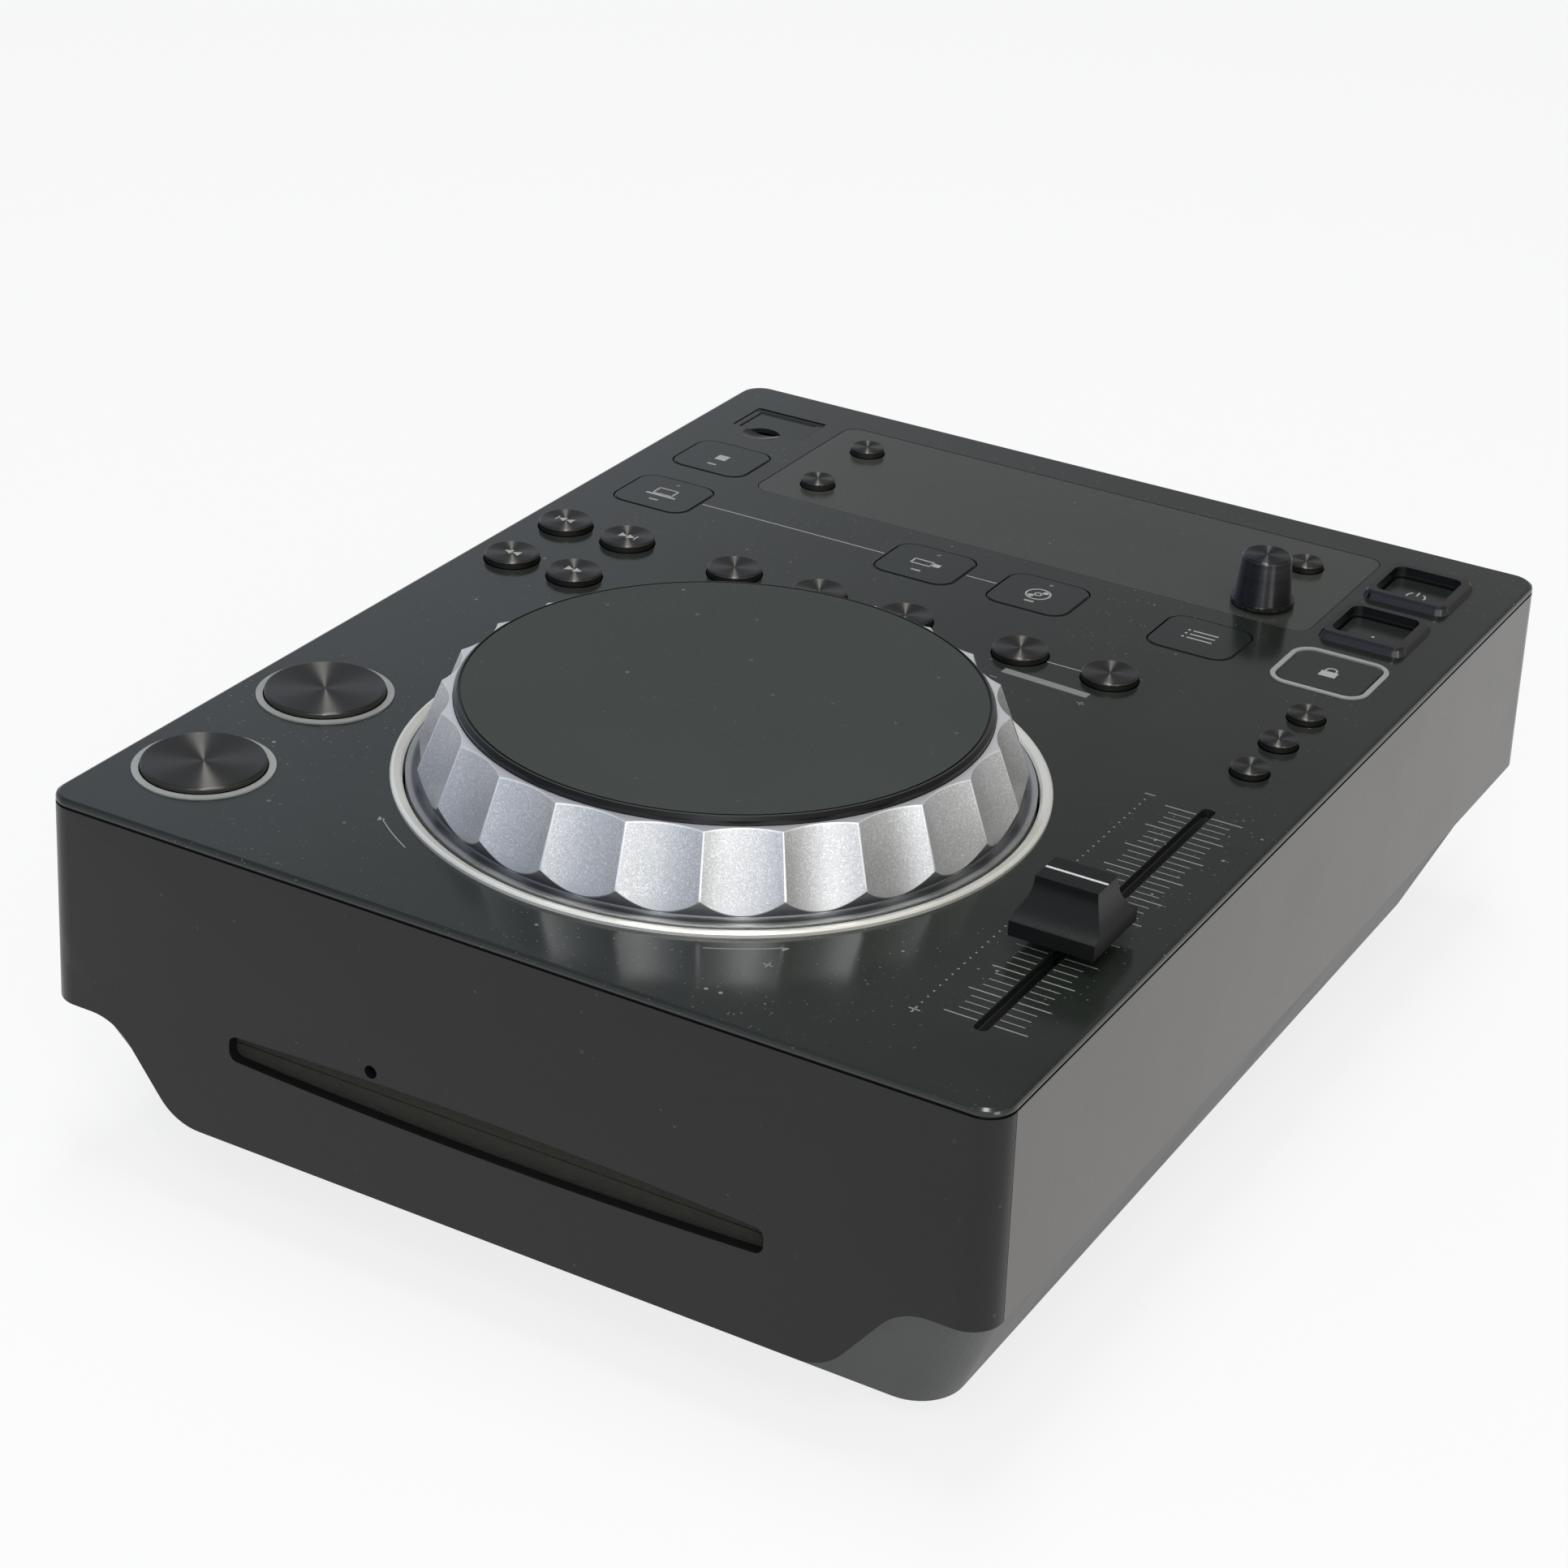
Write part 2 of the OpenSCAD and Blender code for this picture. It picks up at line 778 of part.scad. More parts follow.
module jog_wheel() {
  color([0.75, 0.76, 0.8])
    place()
      translate([0, jog_y, 0])
        difference() {
          union() {
            difference() {
              rotate_extrude()
                jog_profile();
              for (i = [0:scallops - 1]) {
                rotate([0, 0, -3.4 + 360 / scallops * (i + 0.5)])
                  scallop_cut();
              }
            }
            rod(9.5, -4.2, 15.4);
            rod(21, 13.1, 15.4);
            rod(4, -15.4, -4);
            for (i = [0:5]) {
              rotate([0, 0, 60 * i])
                box(9, 50, -0.8, 0.8, 6, 13.5);
            }
          }
          rod(6, 5, 17);
        }
}

module jog_top_disc() {
  color([0.16, 0.17, 0.16])
    place()
      translate([0, jog_y, 0])
        difference() {
          union() {
            rod(disc_r, 16.6, disc_top - 0.8);
            translate([0, 0, disc_top - 0.8])
              cylinder(r1 = disc_r, r2 = disc_r - 0.8, h = 0.8);
            rod(5.95, 6, disc_top - 1);
          }
          tube(disc_r - 1, disc_r - 1.5, disc_top - 0.25, disc_top + 1);
        }
}

module jog_base() {
  color([0.08, 0.08, 0.08])
    place()
      translate([0, jog_y, 0])
        difference() {
          rotate_extrude()
            polygon([[4.06, -16], [70, -16], [70, -4], [75, -4], [75, -2], [68, -2],
              [68, -14], [9, -14], [9, -4.5], [4.06, -4.5]]);
          for (a = [45, 135, 225, 315]) {
            translate([73 * cos(a), 73 * sin(a), 0])
              rod(1, -5, 0);
          }
        }
}

// ---------- rear sockets ----------

module rca_jacks() {
  color([0.8, 0.8, 0.8])
    place()
      for (x = [-84, -66]) {
        translate([x, 0, 0])
          difference() {
            union() {
              box(-5.5, 5.5, half_y - 17, in_y, shelf_z, -22);
              translate([0, 0, rca_z])
                rod_y(4.15, in_y - 1, rear_y);
              translate([0, 0, rca_z])
                rod_y(5.6, half_y + 0.8, half_y + 1.8);
            }
            translate([0, 0, rca_z])
              difference() {
                rod_y(3.5, half_y + 1, rear_y + 1);
                rod_y(2.6, half_y, rear_y - 0.8);
              }
            translate([0, 0, rca_z])
              rod_y(1.7, half_y - 2, rear_y + 2);
          }
      }
}

module rear_sockets() {
  color([0.1, 0.1, 0.1])
    place() {
      difference() {
        union() {
          box(-49.5, -38.5, half_y - 16, in_y, shelf_z, -25.5);
          translate([-44, 0, -31])
            rod_y(3.2, in_y - 1, half_y + 2);
        }
        translate([-44, 0, -31])
          rod_y(1.8, half_y - 12, half_y + 5);
      }
      difference() {
        box(-24, -12, half_y - 17, half_y + 0.9, shelf_z, -25);
        translate([-18, 0, -30.4])
          rotate([90, 0, 0])
            translate([0, 0, -half_y - 3])
              linear_extrude(12)
                rr(8.5, 7.9, 0.8);
      }
      box(-20.8, -15.2, half_y - 9.5, half_y - 5, -32, -28.8);
    }
}

module ac_inlet() {
  color([0.06, 0.06, 0.06])
    place()
      translate([68, 0, -29]) {
        difference() {
          union() {
            box(-10, 10, half_y - 21, half_y + 0.9, -5.5, 5.5);
            translate([0, half_y + 2.6, 0])
              rotate([90, 0, 0])
                linear_extrude(1.8)
                  rr(25, 15, 2);
            box(-7, 7, half_y - 25, half_y - 15, shelf_z + 29, -5);
          }
          translate([0, half_y + 4, 0])
            rotate([90, 0, 0])
              linear_extrude(14)
                rr(15.4, 8.4, 4.15);
        }
        for (x = [-4.3, 4.3]) {
          translate([x, 0, 0])
            rod_y(1.2, half_y - 11, half_y + 1);
        }
      }
}

// ---------- boards ----------

module chip(x, y, w, d, h, z) {
  translate([x, y, z + h / 2])
    cube([w, d, h], center = true);
}

module key_board() {
  color([0.1, 0.3, 0.15])
    place()
      difference() {
        union() {
          difference() {
            slab(2 * in_x - 7.2, 2 * in_y - 11.2, 4, board_top - board_t, board_top);
            translate([0, jog_y, 0])
              rod(76.4, -20, 0);
            box(0, 110, -140, -1.4, -20, 0);
            box(-40, 10, -140, -100, -20, 0);
          }
          for (y = [play_y, cue_y]) {
            switch_at(left_x - 1, y);
          }
          for (h = round_holes()) {
            switch_at(h[0], h[1]);
          }
          for (h = rect_holes()) {
            switch_at(h[0], h[1]);
          }
          for (h = concat(window_holes(), [[lock_x, lock_y], [right_x, eject_y], [right_x, power_y]])) {
            switch_at(h[0], h[1]);
          }
          chip(knob_x, knob_y, 12, 11.6, 4.4, board_top);
          translate([knob_x, knob_y, 0])
            rod(4.4, board_top, -2.6);
          for (x = [-36:24:12]) {
            chip(x, 46, 10, 5, 1.6, board_top);
          }
        }
        translate([knob_x, knob_y, 0])
          rod(3.06, board_top, 0);
      }
}

module switch_at(x, y) {
  chip(x, y, 6, 6, 3.1, board_top);
  translate([x, y, 0])
    rod(1.75, board_top + 3, -5.7);
}

module main_board() {
  z = shelf_z;
  color([0.1, 0.3, 0.15])
    place()
      difference() {
        union() {
          box(12 - half_x, 30, 22, half_y - 9, z - board_t, z);
          chip(-30, 70, 24, 24, 2, z);
          chip(-62, 64, 14, 20, 1.6, z);
          chip(0, 60, 18, 10, 1.6, z);
          chip(-40, 104, 12, 12, 1.4, z);
          chip(2, 100, 9, 9, 1.4, z);
          for (i = [0:4]) {
            translate([-84 + 9 * i, 42, 0])
              rod(3, z, z + 7);
          }
          chip(-20, 30, 30, 5, 4, z);
          chip(-80, 84, 6, 22, 5, z);
        }
        for (p = shelf_posts()) {
          translate([p[0], p[1], 0])
            rod(1.8, z - 5, z + 5);
        }
      }
}

module power_board() {
  z = shelf_z;
  color([0.3, 0.24, 0.12])
    place()
      difference() {
        union() {
          box(34, half_x - 12, 22, half_y - 13, z - board_t, z);
          chip(62, 60, 26, 24, 20, z);
          chip(62, 60, 32, 14, 16, z);
          translate([48, 90, 0])
            rod(8, z, z + 22);
          translate([70, 88, 0])
            rod(5, z, z + 14);
          chip(84, 84, 4, 24, 18, z);
          chip(60, 38, 12, 6, 10, z);
          chip(48, 110, 10, 5, 6, z);
        }
        for (p = shelf_posts()) {
          translate([p[0], p[1], 0])
            rod(1.8, z - 5, z + 5);
        }
      }
}

module screw(r, len) {
  difference() {
    cylinder(r = r, h = 1.6);
    translate([0, 0, 1.9])
      cube([2.6, 0.6, 1.6], center = true);
    translate([0, 0, 1.9])
      cube([0.6, 2.6, 1.6], center = true);
  }
  translate([0, 0, -len])
    cylinder(r = 1.25, h = len + 0.1);
}

module case_screws() {
  color([0.5, 0.5, 0.5])
    place() {
      for (p = shelf_posts()) {
        translate([p[0], p[1], shelf_z])
          screw(2.8, 8);
      }
      for (x = [-60, 60]) {
        for (y = [-92, -4]) {
          translate([x, y, -base_z + 1.8])
            mirror([0, 0, 1])
              screw(2.9, 16.4);
        }
      }
    }
}

module rubber_feet() {
  color([0.04, 0.04, 0.04])
    place()
      for (sx = [-1, 1]) {
        for (sy = [-1, 1]) {
          translate([sx * foot_x, sy * foot_y, -base_z - foot_h])
            difference() {
              union() {
                cylinder(r1 = 8.4, r2 = 9.2, h = foot_h);
                translate([0, 0, foot_h - 0.1])
                  cylinder(r = 9.5, h = 0.9);
              }
              translate([0, 0, -1])
                cylinder(r = 4, h = 2.4);
            }
        }
      }
}

// ---------- disc slot and drive ----------

module slot_felt() {
  y0 = -half_y + 2.4 - 0.98;
  color([0.12, 0.1, 0.08])
    place() {
      for (span = [[rim_z, -slot_z - slot_h / 2 + 0.5], [-slot_z + slot_h / 2 - 0.5, -38.3]]) {
        box(-64, 64, y0 + 0.3, y0 + 1.2, span[0], span[1]);
      }
    }
}

module drive_chassis() {
  w = drive_half;
  color([0.6, 0.61, 0.62])
    place()
      difference() {
        union() {
          box(-w, w, -128, 12, -66, bay_floor);
          for (s = [-1, 1]) {
            box(s > 0 ? w - 1.2 : -w, s > 0 ? w : 1.2 - w, -128, 12, -66, -38.5);
          }
          box(-w, w, 10.8, 12, -66, -38.5);
          box(-w, w, -128, -126.8, -66, -54);
          box(19, 29, -50.2, -48.8, -66, -51);
          box(-29, -19, -63, -52, -66, -62.5);
          for (x = [-60, 60]) {
            for (y = [-92, -4]) {
              translate([x, y, 0])
                rod(4.6, bay_floor - 0.5, bay_floor + 1.2);
            }
          }
        }
        translate([0, -123, -49.4])
          rod_x(1.55, w - 3, w + 2);
        translate([24, 0, -56])
          rod_y(1.5, -52, 14);
        translate([-24, 0, -56])
          rod_y(1.26, 8, 14);
        for (x = [-60, 60]) {
          for (y = [-92, -4]) {
            translate([x, y, 0])
              rod(1.6, -67, -60);
          }
        }
        translate([0, -95, 0])
          slab(70, 34, 6, -70, -60);
        translate([0, -14, 0])
          slab(24, 36, 6, -70, -60);
        for (s = [-1, 1]) {
          translate([s * 52, -50, 0])
            slab(20, 60, 5, -70, -60);
        }
      }
}

module drive_cover() {
  w = drive_half;
  color([0.62, 0.63, 0.64])
    place()
      difference() {
        union() {
          box(-w, w, -128, 12, -38.5, -37.3);
          for (s = [-1, 1]) {
            box(s * 22 - 1.5, s * 22 + 1.5, -6, 2, -38, -33);
          }
          box(-w + 8, w - 8, -122, -119, -37.5, -35.5);
        }
        translate([0, -44, 0])
          slab(40, 84, 6, -45, -30);
        for (s = [-1, 1]) {
          translate([s * 50, -50, 0])
            slab(26, 70, 8, -45, -30);
        }
        translate([0, -2, -35.4])
          rod_x(1.55, -30, 30);
      }
}

module drive_motors() {
  color([0.5, 0.5, 0.52])
    place() {
      difference() {
        union() {
          translate([0, hub_y, 0])
            rod(12, bay_floor, -51);
          translate([0, hub_y, 0])
            rod(14.4, bay_floor, -62.8);
        }
        translate([0, hub_y, 0])
          rod(1.55, -60, -40);
      }
      difference() {
        translate([-24, 0, -56])
          rod_y(6.5, -64, -51);
        translate([-24, 0, -56])
          rod_y(1.26, -56, -45);
      }
      difference() {
        box(-70.5, -58, -127 + 0.5, -100, bay_floor, -46.4);
        translate([0, -123, -49.4])
          rod_x(1.55, -68, -50);
      }
      translate([-51, -106, -55.6])
        rod_x(7.4, -7, 12);
    }
}

module guide_rod() {
  color([0.8, 0.8, 0.82])
    place()
      translate([24, 0, -56])
        rod_y(1.5, -50.2, 12);
}

function thread_pts() = concat([[0, 0]],
  [for (i = [0:19]) each [[1.5, 3 * i + 0.2], [2, 3 * i + 1.1], [2, 3 * i + 1.9], [1.5, 3 * i + 2.8]]],
  [[0, 60]]);

module lead_screw() {
  color([0.75, 0.75, 0.78])
    place()
      translate([-24, 0, -56])
        rotate([90, 0, 0])
          translate([0, 0, -11.8]) {
            cylinder(r = 1.2, h = 66.6);
            translate([0, 0, 1.6])
              rotate_extrude()
                polygon(thread_pts());
          }
}

module pickup_sled() {
  color([0.2, 0.2, 0.22])
    place()
      translate([0, hub_y + 25, 0])
        difference() {
          union() {
            box(-16, 28, -10, 10, -60, -52);
            box(-21.4, -16, -4, 4, -58, -53.6);
            box(-27, -21, -4, 4, -53.6, -52);
            rod(7, -53, -51);
            rod(3.2, -51.2, -50.2);
          }
          translate([24, 0, -56])
            rod_y(1.56, -12, 12);
          rod(2, -51, -49);
        }
}

module turntable_hub() {
  color([0.12, 0.12, 0.12])
    place()
      translate([0, hub_y, 0])
        union() {
          rod(15, -49.6, -47.6);
          rod(6, -50.7, -49);
          translate([0, 0, -47.6])
            cylinder(r1 = 7.4, r2 = 6.6, h = 1.7);
          rod(1.5, -59.5, -50);
        }
}

module clamp_arm() {
  color([0.35, 0.35, 0.36])
    place()
      difference() {
        union() {
          box(-9, 9, -62, -2, -36.4, -35);
          translate([0, -2, -35.4])
            rod_x(1.5, -24, 24);
          translate([0, -2, -35.4])
            rod_x(1.8, -9, 9);
          translate([0, hub_y, 0])
            rod(13, -40.5, -39);
          translate([0, hub_y, 0])
            rod(9, -39.5, -35);
        }
        translate([0, hub_y, 0])
          rod(7.6, -42, -39.8);
      }
}

module feed_roller() {
  color([0.1, 0.1, 0.1])
    place()
      translate([0, -123, -49.4]) {
        rod_x(1.5, -67.5, drive_half + 0.8);
        translate([-52, 0, 0])
          rotate([0, 90, 0])
            cylinder(r1 = 4.2, r2 = 3.5, h = 52);
        rotate([0, 90, 0])
          cylinder(r1 = 3.5, r2 = 4.2, h = 52);
      }
}

top_panel();
side_housing();
front_panel();
bottom_case();
display_window();
display_module();
jog_trim_ring();
light_rings();
usb_flap();
usb_port();
rubber_feet();
case_screws();
slot_felt();
rca_jacks();
rear_sockets();
ac_inlet();
main_board();
key_board();
power_board();
drive_chassis();
drive_cover();
drive_motors();
guide_rod();
fader_body();
jog_base();
feed_roller();
turntable_hub();
clamp_arm();
pickup_sled();
lead_screw();
tempo_fader_cap();
select_knob();
select_shaft();
jog_wheel();
jog_top_disc();
play_button();
cue_button();
track_back_button();
track_forward_button();
search_back_button();
search_forward_button();
loop_in_button();
loop_out_button();
reloop_button();
beat_half_button();
beat_double_button();
time_mode_button();
utility_button();
back_button();
usb_stop_button();
link_button();
usb_button();
disc_button();
playlist_button();
bpm_lock_button();
eject_key();
power_key();
vinyl_button();
tempo_range_button();
master_tempo_button();
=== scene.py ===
"""Tabletop DJ CD player: finishes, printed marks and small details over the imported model.

Sizes are in millimetres of the plate's own frame (X right, Y back, Z up from the plate's surface), and
at_plate changes them to metres of the part's frame. Materials work in metres.
"""

from __future__ import annotations

import json
import logging
import math
from dataclasses import dataclass, field
from enum import Enum
from typing import Any, Sequence

import bmesh
import bpy
from mathutils import Matrix, Vector

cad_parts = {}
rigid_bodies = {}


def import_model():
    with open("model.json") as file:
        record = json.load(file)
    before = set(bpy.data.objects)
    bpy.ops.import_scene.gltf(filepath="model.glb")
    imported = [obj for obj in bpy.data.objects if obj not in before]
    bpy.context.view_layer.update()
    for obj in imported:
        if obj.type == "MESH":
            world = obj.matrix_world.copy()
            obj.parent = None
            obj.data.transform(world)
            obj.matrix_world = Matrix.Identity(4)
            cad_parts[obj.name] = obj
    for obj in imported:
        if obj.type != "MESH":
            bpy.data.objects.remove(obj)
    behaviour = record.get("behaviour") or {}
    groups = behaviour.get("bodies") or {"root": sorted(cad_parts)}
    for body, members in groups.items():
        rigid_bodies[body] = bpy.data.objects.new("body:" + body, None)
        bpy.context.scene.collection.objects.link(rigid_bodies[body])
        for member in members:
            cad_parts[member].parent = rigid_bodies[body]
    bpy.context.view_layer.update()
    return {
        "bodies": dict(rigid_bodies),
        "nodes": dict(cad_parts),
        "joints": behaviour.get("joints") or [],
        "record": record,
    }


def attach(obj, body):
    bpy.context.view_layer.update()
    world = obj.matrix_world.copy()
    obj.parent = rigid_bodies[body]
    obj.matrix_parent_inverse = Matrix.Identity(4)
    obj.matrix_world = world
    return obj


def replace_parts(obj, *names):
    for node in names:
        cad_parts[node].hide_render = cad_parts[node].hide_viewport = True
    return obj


LOG = logging.getLogger("player")
MM = 0.001
PLATE_TOP = 87.9
PLATE_SHIFT = -4.4227
WHEEL_CENTRE = (0.0, -56.7)
ZERO = (0.0, 0.0, 0.0)
Point2 = tuple[float, float]
Colour = tuple[float, float, float]
Layers = tuple[Any, Any, Any, float]


def at_plate(x: float, y: float, z: float) -> Vector:
    """Return a point of the plate's frame, in millimetres, as metres in the part's frame."""
    return Vector((x * MM, (y + PLATE_SHIFT) * MM, (z + PLATE_TOP) * MM))


def around(centre: Point2, radius: float, degrees: float) -> Point2:
    """Return the point at an angle on a circle."""
    angle = math.radians(degrees)
    return (centre[0] + radius * math.cos(angle), centre[1] + radius * math.sin(angle))


def scaled(colour: Colour, factor: float) -> Colour:
    """Return a colour made lighter or darker by a factor."""
    return tuple(part * factor for part in colour)


class Ink(Enum):
    """Colours of the marks printed on the player."""

    PALE = (0.42, 0.43, 0.40)
    DIM = (0.22, 0.23, 0.21)
    WHITE = (0.72, 0.72, 0.68)
    LAMP_OFF = (0.16, 0.15, 0.12)
    LINE = (0.27, 0.28, 0.26)


# ---------------------------------------------------------------- node helpers


@dataclass
class Sheet:
    """A node tree with short calls to place and link its nodes."""

    tree: bpy.types.NodeTree

    def add(self, kind: str, **settings: Any) -> bpy.types.Node:
        """Add a shader node.

        Args:
            kind: the node's type name after "ShaderNode".
            settings: attributes of the node, or what feeds an input when the name starts with "in_".

        Returns:
            The new node.
        """
        node = self.tree.nodes.new(f"ShaderNode{kind}")
        for name, value in settings.items():
            if name.startswith("in_"):
                self.feed(node.inputs[name[3:].replace("_", " ")], value)
            else:
                setattr(node, name, value)
        return node

    def feed(self, slot: Any, value: Any) -> None:
        """Feed an input.

        Args:
            slot: the input socket.
            value: a socket to link, a constant to write, or None to leave the input as it is.
        """
        if isinstance(value, bpy.types.NodeSocket):
            self.tree.links.new(value, slot)
        elif value is not None:
            slot.default_value = (*value[:3], 1.0) if slot.type == "RGBA" else value

    def math(self, operation: str, *values: Any, clamp: bool = False) -> Any:
        """Add a Math node.

        Args:
            operation: what the node works out.
            values: the sockets or numbers that feed its inputs in turn.
            clamp: whether the result is held between 0 and 1.

        Returns:
            The result's socket.
        """
        node = self.add("Math", operation=operation, use_clamp=clamp)
        for slot, value in zip(node.inputs, values):
            self.feed(slot, value)
        return node.outputs[0]

    def times(self, first: Any, second: Any) -> Any:
        """Return the product of two numbers."""
        return self.math("MULTIPLY", first, second)

    def rest(self, value: Any) -> Any:
        """Return what is left of 1 beside a number."""
        return self.math("SUBTRACT", 1.0, value)

    def vector(self, operation: str, *values: Any) -> Any:
        """Add a Vector Math node.

        Args:
            operation: what the node works out.
            values: the sockets or vectors that feed its inputs in turn.

        Returns:
            The result's socket, of a number for a length or a dot product.
        """
        node = self.add("VectorMath", operation=operation)
        for slot, value in zip(node.inputs, values):
            self.feed(slot, value)
        return node.outputs["Value"] if operation in {"LENGTH", "DOT_PRODUCT"} else node.outputs[0]

    def flat(self, vector: Any) -> Any:
        """Return a vector without its height."""
        return self.vector("MULTIPLY", vector, (1.0, 1.0, 0.0))

    def split(self, vector: Any) -> Any:
        """Return the X, Y and Z sockets of a vector."""
        return self.add("SeparateXYZ", in_Vector=vector).outputs

    def mix(self, factor: Any, low: Any, high: Any) -> Any:
        """Blend two colours by a factor and return the colour socket."""
        return self._mix("RGBA", (0, 6, 7), 2, (factor, low, high))

    def blend(self, factor: Any, low: Any, high: Any) -> Any:
        """Blend two numbers by a factor and return the value socket."""
        return self._mix("FLOAT", (0, 2, 3), 0, (factor, low, high))

    def _mix(self, kind: str, slots: Sequence[int], out: int, values: Sequence[Any]) -> Any:
        """Add a Mix node.

        Args:
            kind: the node's data type.
            slots: the inputs that this data type shows.
            out: the output that it shows.
            values: what feeds the inputs.

        Returns:
            The output's socket.
        """
        node = self.add("Mix", data_type=kind)
        for slot, value in zip(slots, values):
            self.feed(node.inputs[slot], value)
        return node.outputs[out]

    def window(self, value: Any, low: float, high: float) -> Any:
        """Return a smooth step of a value from 0 at low to 1 at high."""
        step = self.add(
            "MapRange", interpolation_type="SMOOTHSTEP", in_Value=value, in_From_Min=low, in_From_Max=high
        )
        return step.outputs["Result"]

    def band(self, value: Any, low: float, high: float) -> Any:
        """Return a smooth step of a length from 0 at low to 1 at high, both in millimetres."""
        return self.window(value, low * MM, high * MM)

    def noise(self, place: Any, scale: Any, detail: float = 2.0, roughness: float = 0.5) -> Any:
        """Add a noise pattern and return its value."""
        node = self.add("TexNoise", in_Vector=place, in_Scale=scale, in_Detail=detail, in_Roughness=roughness)
        return node.outputs["Fac"]

    def cells(self, place: Any, scale: Any, **settings: Any) -> Any:
        """Add a cell pattern and return its sockets."""
        return self.add("TexVoronoi", in_Vector=place, in_Scale=scale, **settings).outputs


def new_group(name: str, outputs: Sequence[str], **inputs: Any) -> tuple[Sheet, Any, Any]:
    """Make a shader node group with a vector input, further inputs and number outputs.

    Args:
        name: the group's name.
        outputs: the names of its outputs.
        inputs: the starting value of each further input, a number or a vector.

    Returns:
        The group's sheet, the sockets that give its inputs and the sockets that take its outputs.
    """
    tree = bpy.data.node_groups.new(name, "ShaderNodeTree")
    for label, value in {"Vector": ZERO, **inputs}.items():
        kind = "NodeSocketFloat" if isinstance(value, float) else "NodeSocketVector"
        tree.interface.new_socket(label, in_out="INPUT", socket_type=kind).default_value = value
    for label in outputs:
        tree.interface.new_socket(label, in_out="OUTPUT", socket_type="NodeSocketFloat")
    given = tree.nodes.new("NodeGroupInput").outputs
    return Sheet(tree), given, tree.nodes.new("NodeGroupOutput").inputs


